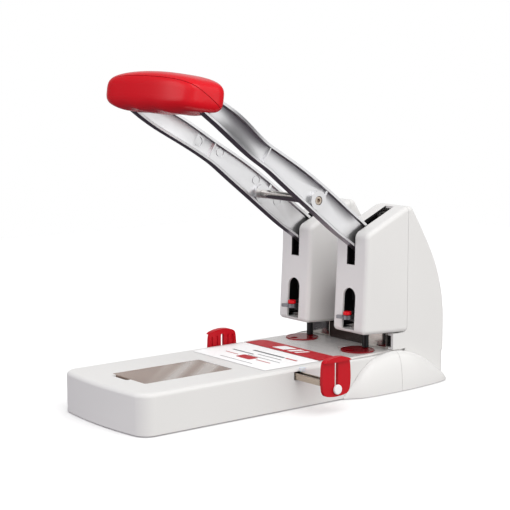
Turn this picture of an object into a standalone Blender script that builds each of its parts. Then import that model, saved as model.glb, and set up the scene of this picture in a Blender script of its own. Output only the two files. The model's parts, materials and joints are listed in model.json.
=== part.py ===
"""Heavy-duty two-hole paper punch: base with deck, two punch towers, a lever on two cast arms, side guides."""

import math

import bmesh
import bpy
from mathutils import Matrix, Vector

MM = 0.001

# Every number below is in millimetres. X is across, Y runs from the front (negative) to the towers,
# Z is up. The towers' front faces stand at Y = 0, and SHIFT takes that layout to the row frame.
SHIFT = Vector((-14.75, 75.7, 0.0))
GAP = 0.3
SIDES = (("left", -1), ("right", 1))

TOWER_X = 40.0          # half the hole spacing of 80
PUNCH_Y = 19.3
PUNCH_R = 3.2
PUNCH_TIP_Z = 39.4

BASE_HALF_W = 63.3
BASE_REAR_Y = 50.0
BASE_TOP = 37.0
BASE_BOTTOM = 0.6
BASE_WALL = 2.6
BASE_FILLET = 3.5
BASE_BOW = ((62.6, -241.0), (60.0, -246.0), (55.5, -249.8), (46.0, -252.0), (28.0, -254.0), (0.0, -255.0))
BASE_SIDE_FRONT = -236.0
FEET = ((-52.0, -214.0), (52.0, -214.0), (-48.0, 87.0), (48.0, 87.0))

WINDOW_X = (-22.6, 29.4)
WINDOW_Y = (-224.8, -130.2)
LID_AXIS = (-132.2, 36.4)
LID_TOP = 36.9
LID_THICK = 2.0
TRAY_FLOOR = 12.0

DECK_HALF_W = 59.8
DECK_Y = (-49.5, 49.5)
DECK_Z = (35.5, 37.5)
LABEL_HALF_W = 53.9
LABEL_Y = (-114.1, -50.7)
BAND_Y = (-50.4, -28.2)
DISC_Y = 9.2
DISC_R = 15.8
DISC_Z = (35.5, 38.6)
DISC_HOLE_R = PUNCH_R + GAP
DISC_HOLES_Y = (PUNCH_Y, 2 * DISC_Y - PUNCH_Y)

TOWER_HALF_W = 21.9
TOWER_REAR_Y = 52.2
TOWER_WALL = 2.0
TOWER_BOTTOM = ((-3.4, 56.5), (46.7, 53.6))
ARCH_HALF_W = 8.4
ARCH_Z = (59.0, 89.6)
SLOT_HALF_W = 5.5
SLOT_BOTTOM = 119.6
SLOT_REAR_Y = 49.0

FRAME_HALF_W = 14.0
FRAME_PLATE = 2.5
FRAME_Y = 32.5
FRAME_WEB_TOP = 98.0

PIVOT = (46.0, 118.0)
PIVOT_R = 4.0
DRIVE_PIN = (19.3, 116.0)
DRIVE_PIN_R = 3.0

ARM_HALF_T = 4.8
ARM_WEB = 6.0
ARM_FLANGE = 2.7
HANDLE_X = 53.0
JOG_Y = (-104.0, -168.0)
ARM_LOW = ((30.0, 114.5), (0.0, 137.2), (-20.0, 150.6), (-40.0, 165.7), (-60.0, 181.1), (-80.0, 196.4),
           (-100.0, 212.0), (-112.0, 219.8), (-126.0, 228.6), (-141.0, 238.0), (-155.5, 247.2),
           (-168.0, 255.8), (-180.0, 264.5), (-190.5, 272.5))
ARM_UP = ((44.5, 133.5), (15.3, 157.0), (-5.0, 172.2), (-25.0, 187.5), (-45.5, 202.3), (-67.5, 216.7),
          (-89.0, 229.4), (-101.2, 236.6), (-114.5, 245.7), (-129.5, 256.2), (-144.5, 265.2),
          (-158.0, 272.6), (-171.0, 280.0), (-182.5, 287.0))
ROD = (-44.5, 182.7)
ROD_R = 4.0
BOSS_R = 8.8
BOSS_PROUD = 0.2
ARM_ROOM_END = len(ARM_LOW) - 0.9
ARM_POCKETS = ((0.75, 3.28), (3.42, 6.62), (6.80, 12.9))

HANDLE = (-182.5, 279.0)
HANDLE_HALF_L = 63.3
HANDLE_RY = 27.4
HANDLE_RZ = 17.6
HANDLE_END_POWER = 7.8
HANDLE_SECTION_POWER = 0.59
HANDLE_BARREL = 0.185
HANDLE_ARCH = 1.9
HANDLE_TILT = math.radians(-7.6)
SEAM_ANGLE = math.radians(143.5)

GUIDE_THICK = 3.2
GUIDE_LIP = 2.3
GUIDE_RIGHT_X = 96.9
GUIDE_LEFT_X = 64.2
GUIDE_OUTLINE = ((-87.2, 32.0), (-86.4, 22.0), (-84.0, 18.0), (-79.0, 16.6), (-70.5, 16.0), (-62.0, 16.6),
                 (-57.0, 18.0), (-54.6, 22.0), (-53.8, 32.0), (-54.8, 46.5), (-57.0, 49.3), (-63.0, 51.4),
                 (-70.5, 52.1), (-78.0, 51.4), (-84.4, 49.6), (-86.6, 46.5))
GUIDE_SLOT = (-70.8, 1.9, 20.6, 47.2)
KNOB_Z = 22.8
RAIL_Z = (27.2, 33.1)
RAIL_W = 7.4
RAIL_RIGHT_Y = -87.2
RAIL_LEFT_Y = -61.2

REAR_Y = 103.0
REAR_HALF_W = TOWER_X + TOWER_HALF_W
BRIDGE_TOP = 92.0

COLOURS = {
    "white": ((0.84, 0.84, 0.83), 0.38, 0.0),
    "gloss_white": ((0.86, 0.86, 0.86), 0.22, 0.0),
    "red": ((0.62, 0.012, 0.022), 0.32, 0.0),
    "dark_red": ((0.28, 0.006, 0.012), 0.2, 0.0),
    "aluminium": ((0.72, 0.72, 0.74), 0.38, 0.85),
    "steel": ((0.62, 0.61, 0.60), 0.28, 1.0),
    "polished": ((0.78, 0.76, 0.73), 0.12, 1.0),
    "black": ((0.012, 0.012, 0.014), 0.4, 0.0),
    "black_steel": ((0.02, 0.02, 0.022), 0.3, 0.8),
    "rubber": ((0.02, 0.02, 0.02), 0.8, 0.0),
    "smoked": ((0.20, 0.14, 0.12), 0.08, 0.0),
    "brown": ((0.045, 0.030, 0.028), 0.3, 0.0),
    "paper": ((0.90, 0.90, 0.90), 0.6, 0.0),
    "frosted": ((0.75, 0.76, 0.78), 0.4, 0.0),
}

frame_root = None


def clear_scene():
    for obj in list(bpy.data.objects):
        bpy.data.objects.remove(obj, do_unlink=True)


def material(key):
    found = bpy.data.materials.get(key)
    if found:
        return found
    colour, rough, metallic = COLOURS[key]
    made = bpy.data.materials.new(key)
    made.use_nodes = True
    shader = made.node_tree.nodes["Principled BSDF"]
    shader.inputs["Base Color"].default_value = (*colour, 1.0)
    shader.inputs["Roughness"].default_value = rough
    shader.inputs["Metallic"].default_value = metallic
    return made


def solid(name, rings):
    """A closed solid through rings of equal length, capped at both ends, in millimetres."""
    mesh = bpy.data.meshes.new(name)
    bm = bmesh.new()
    loops = [[bm.verts.new(Vector(p) * MM) for p in ring] for ring in rings]
    for first, second in zip(loops, loops[1:]):
        for i in range(len(first)):
            j = (i + 1) % len(first)
            bm.faces.new((first[i], first[j], second[j], second[i]))
    bm.faces.new(loops[0])
    bm.faces.new(list(reversed(loops[-1])))
    bmesh.ops.recalc_face_normals(bm, faces=bm.faces)
    bm.to_mesh(mesh)
    bm.free()
    obj = bpy.data.objects.new(name, mesh)
    bpy.context.scene.collection.objects.link(obj)
    return obj


def along(axis, depth, u, v):
    """The point at depth on the axis, with (u, v) on the other two axes in X, Y, Z order."""
    return {"X": (depth, u, v), "Y": (u, depth, v), "Z": (u, v, depth)}[axis]


def prism(name, outline, axis, start, end):
    return solid(name, [[along(axis, depth, u, v) for u, v in outline] for depth in (start, end)])


def box(name, x, y, z):
    return prism(name, ((x[0], y[0]), (x[1], y[0]), (x[1], y[1]), (x[0], y[1])), "Z", z[0], z[1])


def circle(u, v, r, count):
    return [(u + r * math.cos(math.tau * i / count), v + r * math.sin(math.tau * i / count)) for i in range(count)]


def rod(name, axis, start, end, u, v, r, count=24):
    return prism(name, circle(u, v, r, count), axis, start, end)


def area(outline):
    return sum(a[0] * b[1] - b[0] * a[1] for a, b in zip(outline, outline[1:] + outline[:1])) / 2


def inset(outline, depth):
    """The convex outline moved inwards by depth."""
    points = [Vector(p) for p in outline]
    turn = 1 if area(list(outline)) > 0 else -1
    moved = []
    for before, here, after in zip(points[-1:] + points[:-1], points, points[1:] + points[:1]):
        a = (here - before).normalized()
        b = (after - here).normalized()
        na = Vector((-a.y, a.x)) * turn
        nb = Vector((-b.y, b.x)) * turn
        moved.append(here + (na + nb) * depth / (1 + na.dot(nb)))
    return [tuple(p) for p in moved]


def rounded_prism(name, outline, axis, start, end, radius):
    """A prism whose two ends are rounded over by radius."""
    steps = ((0.0, radius), (radius * 0.29, radius * 0.29), (radius, 0.0))
    rings = [(start + along_axis, depth) for along_axis, depth in steps]
    rings += [(end - along_axis, depth) for along_axis, depth in reversed(steps)]
    return solid(name, [[along(axis, at, u, v) for u, v in inset(outline, depth)] for at, depth in rings])


def combine(target, other, operation):
    """Applies the Boolean of other to target and removes other."""
    modifier = target.modifiers.new(operation, "BOOLEAN")
    modifier.operation = operation
    modifier.solver = "EXACT"
    modifier.object = other
    graph = bpy.context.evaluated_depsgraph_get()
    mesh = bpy.data.meshes.new_from_object(target.evaluated_get(graph))
    target.modifiers.clear()
    target.data = mesh
    bpy.data.objects.remove(other, do_unlink=True)
    return target


def cut(target, *others):
    for other in others:
        combine(target, other, "DIFFERENCE")
    return target


def join(target, *others):
    for other in others:
        combine(target, other, "UNION")
    return target


def keep(target, other):
    return combine(target, other, "INTERSECT")


def place(obj, key, origin=(0.0, 0.0, 0.0), smooth=False):
    """Gives the finished piece its material, its origin and its parent."""
    spot = Vector(origin) * MM
    obj.data.transform(Matrix.Translation(-spot))
    obj.location = spot
    obj.parent = frame_root
    obj.data.materials.clear()
    obj.data.materials.append(material(key))
    for face in obj.data.polygons:
        face.material_index = 0
        face.use_smooth = smooth
    if smooth:
        obj.data.set_sharp_from_angle(angle=math.radians(35))
    return obj


def base_outline(margin=0.0, rear=BASE_REAR_Y):
    half = [(BASE_HALF_W, BASE_SIDE_FRONT), *BASE_BOW]
    right = [(BASE_HALF_W, rear)] + half
    left = [(-x, y) for x, y in reversed(right[:-1])]
    return inset(right + left, margin) if margin else right + left


def make_base():
    outer = base_outline()
    rings = [[(x, y, BASE_BOTTOM) for x, y in outer], [(x, y, BASE_TOP - BASE_FILLET) for x, y in outer],
             [(x, y, BASE_TOP - BASE_FILLET * 0.29) for x, y in inset(outer, BASE_FILLET * 0.29)],
             [(x, y, BASE_TOP) for x, y in inset(outer, BASE_FILLET)]]
    cover = solid("base_cover", rings)
    cut(cover, prism("cavity", base_outline(BASE_WALL), "Z", -5.0, BASE_TOP - BASE_WALL))
    cut(cover, box("window", WINDOW_X, WINDOW_Y, (30.0, 40.0)))
    cut(cover, box("notch", (-15.5, 7.5), (WINDOW_Y[0] - 4.5, WINDOW_Y[0] + 1.0), (30.0, 40.0)))
    cut(cover, box("seat", (-70.0, 70.0), (DECK_Y[0] - GAP, 60.0), (DECK_Z[0] - GAP, 40.0)))
    for _, side in SIDES:
        cut(cover, rod("chip_hole", "Z", 30.0, 40.0, side * TOWER_X, PUNCH_Y, 5.4, 16))
    mouth = (RAIL_Z[0] - 0.8, RAIL_Z[1] + 0.8)
    cut(cover, box("mouth", (55.0, 70.0), (RAIL_RIGHT_Y - 0.9, RAIL_RIGHT_Y + RAIL_W + 0.5), mouth))
    cut(cover, box("mouth", (-70.0, -55.0), (RAIL_LEFT_Y - 0.5, RAIL_LEFT_Y + RAIL_W + 0.9), mouth))
    place(cover, "white")

    plate = prism("base_plate", base_outline(BASE_WALL + 0.4), "Z", 1.4, 3.0)
    cut(plate, box("hatch_opening", (-50.4, 50.4), (4.0, 40.4), (0.0, 5.0)))
    corners = ((-50.0, -232.0), (50.0, -232.0), (-50.0, -36.0), (50.0, -36.0))
    for x, y in corners:
        cut(plate, rod("screw_hole", "Z", 0.0, 5.0, x, y, 1.9, 12))
    place(plate, "black")
    for number, (x, y) in enumerate(corners, 1):
        head = rod(f"base_screw_{number}", "Z", 0.35, 1.1, x, y, 3.2, 16)
        join(head, rod("shank", "Z", 0.7, 9.0, x, y, 1.5, 12))
        place(head, "steel")
    for number, (x, y) in enumerate(FEET, 1):
        place(rod(f"foot_{number}", "Z", 0.0, 1.1, x, y, 6.0, 24), "rubber", smooth=True)

    hatch = box("chip_hatch", (-50.0, 50.0), (4.4, 39.0), (1.4, 3.0))
    place(hatch, "black", (0.0, 38.0, 2.2))

    tray = box("accessory_tray", (WINDOW_X[0] - 2.0, WINDOW_X[1] + 2.0), (WINDOW_Y[0] - 2.0, WINDOW_Y[1] + 2.0),
               (TRAY_FLOOR, BASE_TOP - BASE_WALL - GAP))
    cut(tray, box("well", (WINDOW_X[0] + 1.7, WINDOW_X[1] - 1.7), (WINDOW_Y[0] + 3.0, WINDOW_Y[1] - 3.0), (TRAY_FLOOR + 2.0, 40.0)))
    place(tray, "black")
    lid = box("window_lid", (WINDOW_X[0] + 0.4, WINDOW_X[1] - 0.4), (WINDOW_Y[0] + 0.4, WINDOW_Y[1] - 1.0),
              (LID_TOP - LID_THICK, LID_TOP))
    place(lid, "smoked", (0.0, *LID_AXIS))


def make_deck():
    x, (y0, y1) = DECK_HALF_W, DECK_Y
    outline = ((x - 2, y0), (x, y0 + 2), (x, y1), (-x, y1), (-x, y0 + 2), (-x + 2, y0))
    deck = prism("deck_plate", outline, "Z", *DECK_Z)
    for _, side in SIDES:
        cut(deck, rod("disc_seat", "Z", 30.0, 40.0, side * TOWER_X, DISC_Y, DISC_R + GAP, 48))
        reach = (side * TOWER_X - 24.5, side * TOWER_X - 14.0)
        cut(deck, box("notch", reach, (DISC_Y - 5.0, DISC_Y + 5.0), (36.0, 40.0)))
    place(deck, "steel")
    for name, side in SIDES:
        centre = (side * TOWER_X, DISC_Y)
        disc = rod(f"disc_{name}", "Z", *DISC_Z, *centre, DISC_R, 48)
        for y in DISC_HOLES_Y:
            cut(disc, rod("hole", "Z", 30.0, 45.0, side * TOWER_X, y, DISC_HOLE_R, 24))
        place(disc, "dark_red", (*centre, DISC_Z[0]), smooth=True)
    place(box("label_sheet", (-LABEL_HALF_W, LABEL_HALF_W), LABEL_Y, (BASE_TOP + GAP, BASE_TOP + 0.6)), "paper")
    place(box("label_band", (-LABEL_HALF_W, LABEL_HALF_W), BAND_Y, (DECK_Z[1] + GAP, DECK_Z[1] + 0.6)), "red")


def tower_outline():
    return [(-6.1, 2.0), (-3.4, 57.0), (0.0, 125.0), (0.4, 149.3), (49.0, 171.2), (53.0, 171.8),
            (62.0, 171.8), (62.0, 2.0)]


def make_towers():
    for name, side in SIDES:
        centre = side * TOWER_X
        cover = rounded_prism(f"tower_cover_{name}", tower_outline(), "X", centre - TOWER_HALF_W,
                              centre + TOWER_HALF_W, 3.6)
        shell = [*TOWER_BOTTOM, (TOWER_REAR_Y - 1.6, 55.3), (TOWER_REAR_Y, 59.0), (TOWER_REAR_Y, 180.0),
                 (-12.0, 180.0), (-12.0, 57.0)]
        keep(cover, prism("trim", shell, "X", centre - 30.0, centre + 30.0))
        hollow = inset(tower_outline(), TOWER_WALL)
        hollow = [(y + 8.0 if y > 50 else y, z) for y, z in hollow]
        inner = TOWER_HALF_W - TOWER_WALL
        cut(cover, prism("hollow", hollow, "X", centre - inner, centre + inner))
        arch = [(centre - ARCH_HALF_W, ARCH_Z[0]), (centre + ARCH_HALF_W, ARCH_Z[0])]
        turns = [math.pi * i / 12 for i in range(13)]
        arch += [(centre + ARCH_HALF_W * math.cos(t), ARCH_Z[1] + ARCH_HALF_W * math.sin(t)) for t in turns]
        cut(cover, prism("arch", arch, "Y", -12.0, 6.0))
        slot = (centre - SLOT_HALF_W, centre + SLOT_HALF_W)
        cut(cover, box("slot", slot, (-12.0, SLOT_REAR_Y), (SLOT_BOTTOM, 185.0)))
        place(cover, "white")

        plate = ((FRAME_Y, DECK_Z[1] + GAP), (49.0, DECK_Z[1] + GAP), (49.0, 62.0), (58.0, 68.0), (58.0, 121.0),
                 (54.0, 128.5), (46.0, 131.0), (38.0, 128.5), (FRAME_Y, 120.0))
        frame = prism(f"frame_{name}", plate, "X", centre - FRAME_HALF_W, centre + FRAME_HALF_W)
        inner = FRAME_HALF_W - FRAME_PLATE
        cut(frame, box("channel", (centre - inner, centre + inner), (FRAME_Y + FRAME_PLATE, 70.0), (20.0, 140.0)))
        cut(frame, box("arm_gap", (centre - inner, centre + inner), (20.0, 70.0), (FRAME_WEB_TOP, 140.0)))
        cut(frame, rod("pin_hole", "X", centre - 30.0, centre + 30.0, *PIVOT, PIVOT_R + GAP, 24))
        place(frame, "steel")
        reach = FRAME_HALF_W + 1.6
        pin = rod(f"pivot_pin_{name}", "X", centre - reach, centre + reach, *PIVOT, PIVOT_R, 24)
        place(pin, "polished", (centre, *PIVOT), smooth=True)


def blend(y):
    """0 beside the towers and 1 at the handle, along the arms' sideways bend."""
    t = min(max((JOG_Y[0] - y) / (JOG_Y[0] - JOG_Y[1]), 0.0), 1.0)
    return t * t * (3 - 2 * t)


def arm_station(t):
    """The lower edge, upper edge and X offset factor at t, counted in stations from the pivot end."""
    i = min(int(t), len(ARM_LOW) - 2)
    low = Vector(ARM_LOW[i]).lerp(Vector(ARM_LOW[i + 1]), t - i)
    up = Vector(ARM_UP[i]).lerp(Vector(ARM_UP[i + 1]), t - i)
    return low, up, blend((low.x + up.x) / 2)


def arm_rings(side, edge, low_x, high_x, start=0.0, end=len(ARM_LOW) - 1.0):
    """Rings along the arm from start to end, edge inside its outline, from low_x to high_x about its middle."""
    stops = [start] + [float(i) for i in range(len(ARM_LOW)) if start < i < end] + [end]
    rings = []
    for t in stops:
        low, up, bend = arm_station(t)
        across = (up - low).normalized()
        a, b = low + across * edge, up - across * edge
        middle = side * (TOWER_X + (HANDLE_X - TOWER_X) * bend)
        rings.append([(middle + low_x, *a), (middle + high_x, *a), (middle + high_x, *b), (middle + low_x, *b)])
    return rings


def pocket(side, start, end):
    floor = -ARM_HALF_T + ARM_WEB
    return solid("pocket", arm_rings(side, ARM_FLANGE, floor, ARM_HALF_T + 4.0, start, end))


def make_arms():
    for name, side in SIDES:
        centre = side * TOWER_X
        arm = solid(f"arm_{name}", arm_rings(side, 0.0, -ARM_HALF_T, ARM_HALF_T))
        sides = (centre - ARM_HALF_T - BOSS_PROUD, centre + ARM_HALF_T + BOSS_PROUD)
        for start, end in ARM_POCKETS:
            cut(arm, pocket(side, start, end))
        join(arm, rod("eye", "X", *sides, *PIVOT, 12.0, 32), rod("lug", "X", *sides, *DRIVE_PIN, 7.0, 24))
        join(arm, rod("boss", "X", *sides, *ROD, BOSS_R, 32))
        cut(arm, rod("pin_hole", "X", centre - 30.0, centre + 30.0, *PIVOT, PIVOT_R + GAP, 24))
        cut(arm, rod("drive_hole", "X", centre - 30.0, centre + 30.0, *DRIVE_PIN, DRIVE_PIN_R + GAP, 24))
        cut(arm, rod("screw_hole", "X", centre - 30.0, centre + 30.0, *ROD, 2.8, 16))
        outer = centre + side * (ARM_HALF_T + BOSS_PROUD)
        cut(arm, rod("head_seat", "X", outer - side * 4.0, outer + side * 9.0, *ROD, 4.2, 24))
        place(arm, "aluminium", (centre, *PIVOT))

        screw = rod(f"rod_screw_{name}", "X", outer - side * 3.7, outer - side * 0.3, *ROD, 3.8, 24)
        join(screw, rod("shank", "X", centre - side * ARM_HALF_T + side * 0.3, outer - side * 2.0, *ROD, 2.4, 16))
        cut(screw, rod("socket", "X", outer - side * 2.2, outer + side * 5.0, *ROD, 1.9, 6))
        place(screw, "steel", (centre, *PIVOT))
        pin = rod(f"drive_pin_{name}", "X", centre - 9.2, centre + 9.2, *DRIVE_PIN, DRIVE_PIN_R, 24)
        place(pin, "polished", (centre, *PIVOT), smooth=True)
    reach = TOWER_X - ARM_HALF_T - BOSS_PROUD - GAP
    place(rod("cross_rod", "X", -reach, reach, *ROD, ROD_R, 32), "polished", (0.0, *PIVOT), smooth=True)


def handle_ring(x, count=28):
    share = abs(x / HANDLE_HALF_L)
    fill = max(1.0 - share ** HANDLE_END_POWER, 0.0) ** (1 / HANDLE_END_POWER) * (1.0 - HANDLE_BARREL * share ** 2)
    ring = []
    for i in range(count):
        turn = math.tau * i / count
        c, s = math.cos(turn), math.sin(turn)
        u = math.copysign(abs(c) ** HANDLE_SECTION_POWER, c) * HANDLE_RY * fill
        v = math.copysign(abs(s) ** HANDLE_SECTION_POWER, s) * HANDLE_RZ * fill + HANDLE_ARCH * (1.0 - share ** 2)
        if s < 0:
            v += 0.7 * s * math.cos(math.tau * (x + 4.0) / 36.0) * fill
        y = u * math.cos(HANDLE_TILT) - v * math.sin(HANDLE_TILT)
        z = u * math.sin(HANDLE_TILT) + v * math.cos(HANDLE_TILT)
        ring.append((x, HANDLE[0] + y, HANDLE[1] + z))
    return ring


def make_handle():
    direction = Vector((math.cos(SEAM_ANGLE), math.sin(SEAM_ANGLE)))
    normal = Vector((-direction.y, direction.x))
    turns = [math.radians(a) for a in (0.05, 1.5, 6.0, 14.0, 25.0, 38.0, 52.0, 66.0, 78.0, 87.0)]
    half = [HANDLE_HALF_L * math.sin(a) ** (2 / HANDLE_END_POWER) for a in turns]
    stations = [-x for x in reversed(half)] + half
    for name, way in (("handle_upper", -1), ("handle_lower", 1)):
        grip = solid(name, [handle_ring(x) for x in stations])
        near, far = normal * way * GAP / 2, normal * way * 60.0
        centre = Vector(HANDLE)
        corners = [centre + near - direction * 60, centre + near + direction * 60,
                   centre + far + direction * 60, centre + far - direction * 60]
        keep(grip, prism("half", [tuple(p) for p in corners], "X", -90.0, 90.0))
        for _, side in SIDES:
            rings = arm_rings(side, -0.5, -ARM_HALF_T - 0.5, ARM_HALF_T + 0.5, 9.0, ARM_ROOM_END)
            cut(grip, solid("arm_room", rings))
        cut(grip, rod("bar_room", "X", -HANDLE_X, HANDLE_X, *HANDLE, 8.3, 24))
        place(grip, "red", (0.0, *PIVOT), smooth=True)
    reach = HANDLE_X - ARM_HALF_T - GAP
    place(rod("handle_bar", "X", -reach, reach, *HANDLE, 8.0, 24), "steel", (0.0, *PIVOT), smooth=True)


def make_spring(name, centre):
    turns, per_turn, wire, radius, count = 4.5, 12, 0.55, 5.2, 6
    low, high = 66.3 + wire, 83.7 - wire
    steps = int(turns * per_turn)
    rings = []
    for i in range(steps + 1):
        turn = math.tau * i / per_turn
        outward = Vector((math.cos(turn), math.sin(turn), 0.0))
        middle = Vector((centre, PUNCH_Y, low + (high - low) * i / steps)) + outward * radius
        rings.append([tuple(middle + outward * wire * math.cos(math.tau * k / count)
                            + Vector((0, 0, 1)) * wire * math.sin(math.tau * k / count)) for k in range(count)])
    place(solid(name, rings), "steel", (centre, PUNCH_Y, 66.3), smooth=True)


def make_punches():
    for name, side in SIDES:
        x = side * TOWER_X
        punch = rod(f"punch_{name}", "Z", PUNCH_TIP_Z, 90.0, x, PUNCH_Y, PUNCH_R, 32)
        cut(punch, rod("bore", "Z", 30.0, 86.0, x, PUNCH_Y, 2.2, 20))
        place(punch, "black_steel", (x, PUNCH_Y, PUNCH_TIP_Z), smooth=True)

        holder = box(f"punch_holder_{name}", (x - 9.3, x + 9.3), (10.2, 27.6), (84.0, 124.0))
        cut(holder, box("yoke", (x - 5.3, x + 5.3), (0.0, 40.0), (100.0, 130.0)))
        cut(holder, box("pin_slot", (x - 20.0, x + 20.0), (15.4, 25.0), (DRIVE_PIN[1] - 3.8, DRIVE_PIN[1] + 3.8)))
        join(holder, box("skirt", (x - 7.4, x + 7.4), (10.2, 12.8), (65.6, 90.0)))
        join(holder, box("lower_lug", (x - 3.6, x + 3.6), (2.0, 11.5), (65.6, 68.4)))
        join(holder, box("upper_lug", (x - 3.6, x + 3.6), (2.0, 11.5), (72.6, 75.4)))
        cut(holder, rod("lug_hole", "Z", 60.0, 80.0, x, 6.0, 1.9, 16))
        cut(holder, rod("punch_seat", "Z", 70.0, 90.3, x, PUNCH_Y, PUNCH_R + GAP, 32))
        place(holder, "black", (x, PUNCH_Y, 84.0))

        guide = box(f"punch_guide_{name}", (x - 8.4, x + 8.4), (13.4, FRAME_Y - GAP), (58.0, 66.0))
        cut(guide, rod("bush", "Z", 50.0, 70.0, x, PUNCH_Y, PUNCH_R + GAP, 32))
        place(guide, "black")
        make_spring(f"spring_{name}", x)

        lever = rod(f"release_lever_{name}", "Z", 68.8, 72.2, x, 6.0, 3.4, 24)
        join(lever, box("bar", (x - 2.4, x + 2.4), (-4.0, 6.0), (69.2, 71.8)))
        join(lever, rod("hub", "Z", 68.6, 72.4, x - 0.5, -3.7, 4.2, 24))
        tip = ((x - 0.3, -1.6), (x - 8.4, -5.6), (x - 10.4, -7.2), (x - 9.6, -9.4), (x - 7.4, -9.6), (x - 1.0, -6.4))
        join(lever, prism("arm", tip, "Z", 69.0, 72.0), rod("stub", "Z", 66.0, 75.0, x, 6.0, 1.6, 16))
        place(lever, "aluminium", (x, 6.0, 70.5))
        cap = rod(f"lever_cap_{name}", "Z", 72.7, 76.0, x - 0.5, -3.7, 3.9, 24)
        place(cap, "red", (x, 6.0, 70.5), smooth=True)


def make_guides():
    for name, side, inner, rail_y, reach in (("left", -1, GUIDE_LEFT_X, RAIL_LEFT_Y, 46.0),
                                             ("right", 1, GUIDE_RIGHT_X, RAIL_RIGHT_Y, -12.0)):
        outer = inner + GUIDE_THICK
        guide = prism(f"guide_{name}", GUIDE_OUTLINE, "X", side * inner, side * outer)
        lip = [(y, z) for y, z in GUIDE_OUTLINE if z > 46.0] + [(-86.0, 46.9), (-55.4, 46.9)]
        lip = sorted(lip, key=lambda p: math.atan2(p[1] - 48.5, p[0] + 70.5))
        join(guide, prism("lip", inset(lip, 0.25), "X", side * (outer - 1.0), side * (outer + GUIDE_LIP)))
        y, half, z0, z1 = GUIDE_SLOT
        slot = [(y - half, z0), (y + half, z0), (y + half, z1 - 1.2), (y + half * 0.5, z1), (y - half * 0.5, z1),
                (y - half, z1 - 1.2)]
        cut(guide, prism("slot", slot, "X", side * (inner - 5.0), side * (outer + 9.0)))
        place(guide, "red")

        knob = rod(f"guide_knob_{name}", "X", side * (outer + GAP), side * (outer + 3.0), y, KNOB_Z, 4.4, 28)
        join(knob, rod("shank", "X", side * (inner + 0.3), side * (outer + 1.0), y, KNOB_Z, 1.5, 16))
        place(knob, "paper", (side * outer, y, KNOB_Z), smooth=True)

        ends = sorted((side * (inner - GAP), reach))
        rail = box(f"guide_rail_{name}", ends, (rail_y, rail_y + RAIL_W), RAIL_Z)
        cut(rail, box("groove", (ends[0] - 5.0, ends[1] + 5.0), (rail_y + 1.5, rail_y + RAIL_W - 1.5),
                      (RAIL_Z[0] + 1.8, RAIL_Z[1] + 3.0)))
        place(rail, "steel")
    lug_x = BASE_HALF_W + GAP
    lug = box("rail_lug_right", (lug_x, lug_x + 4.2), (RAIL_RIGHT_Y + 3.6, RAIL_RIGHT_Y + 9.6), (34.2, 38.0))
    place(lug, "frosted")
    bearing = box("rail_bearing", (-58.0, 58.0), (RAIL_RIGHT_Y - 3.0, RAIL_LEFT_Y + RAIL_W + 3.0),
                  (RAIL_Z[0] - 2.8, BASE_TOP - BASE_WALL - GAP))
    for y in (RAIL_RIGHT_Y, RAIL_LEFT_Y):
        cut(bearing, box("tunnel", (-70.0, 70.0), (y - GAP, y + RAIL_W + GAP), (RAIL_Z[0] - GAP, RAIL_Z[1] + GAP)))
    place(bearing, "black")


def wing_outline():
    return [(30.0, 20.0), (30.0, 162.6), (49.0, 171.2), (54.6, 172.0), (58.6, 169.8), (64.6, 162.0), (69.9, 154.0),
            (74.6, 146.0), (79.5, 138.0), (84.0, 130.0), (88.2, 122.0), (91.8, 114.0), (94.8, 106.0), (97.3, 98.0),
            (99.4, 90.0), (101.0, 82.0), (102.1, 74.0), (102.8, 66.0), (REAR_Y, 58.0), (REAR_Y, 20.0)]


def rear_block(name, margin, front, bottom):
    """The rear housing's outside, or its inside when margin is the wall."""
    half = REAR_HALF_W - margin
    back = REAR_Y - margin
    corner = 6.0
    foot = [(half, front), (half, back - corner), (half - corner * 0.29, back - corner * 0.29), (half - corner, back)]
    foot += [(-x, y) for x, y in reversed(foot)]
    block = prism(name, foot, "Z", bottom, 38.0 - margin)
    bridge = [(front, 30.0), (front, BRIDGE_TOP - margin), (66.0, BRIDGE_TOP - margin)]
    bridge += [(y - margin, z - margin) for y, z in wing_outline() if 20.0 < z < BRIDGE_TOP]
    wings = []
    for _, side in SIDES:
        centre = side * TOWER_X
        outline = inset(wing_outline(), margin) if margin else wing_outline()
        width = TOWER_HALF_W - margin
        if margin:
            wing = prism("wing", outline, "X", centre - width, centre + width)
        else:
            wing = rounded_prism("wing", outline, "X", centre - width, centre + width, 3.6)
        trim = box("trim", (centre - 40.0, centre + 40.0), (front, 120.0), (30.0, 190.0))
        wings.append(keep(wing, trim))
    join(block, prism("bridge", bridge, "X", -TOWER_X, TOWER_X), *wings)
    return block


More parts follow.
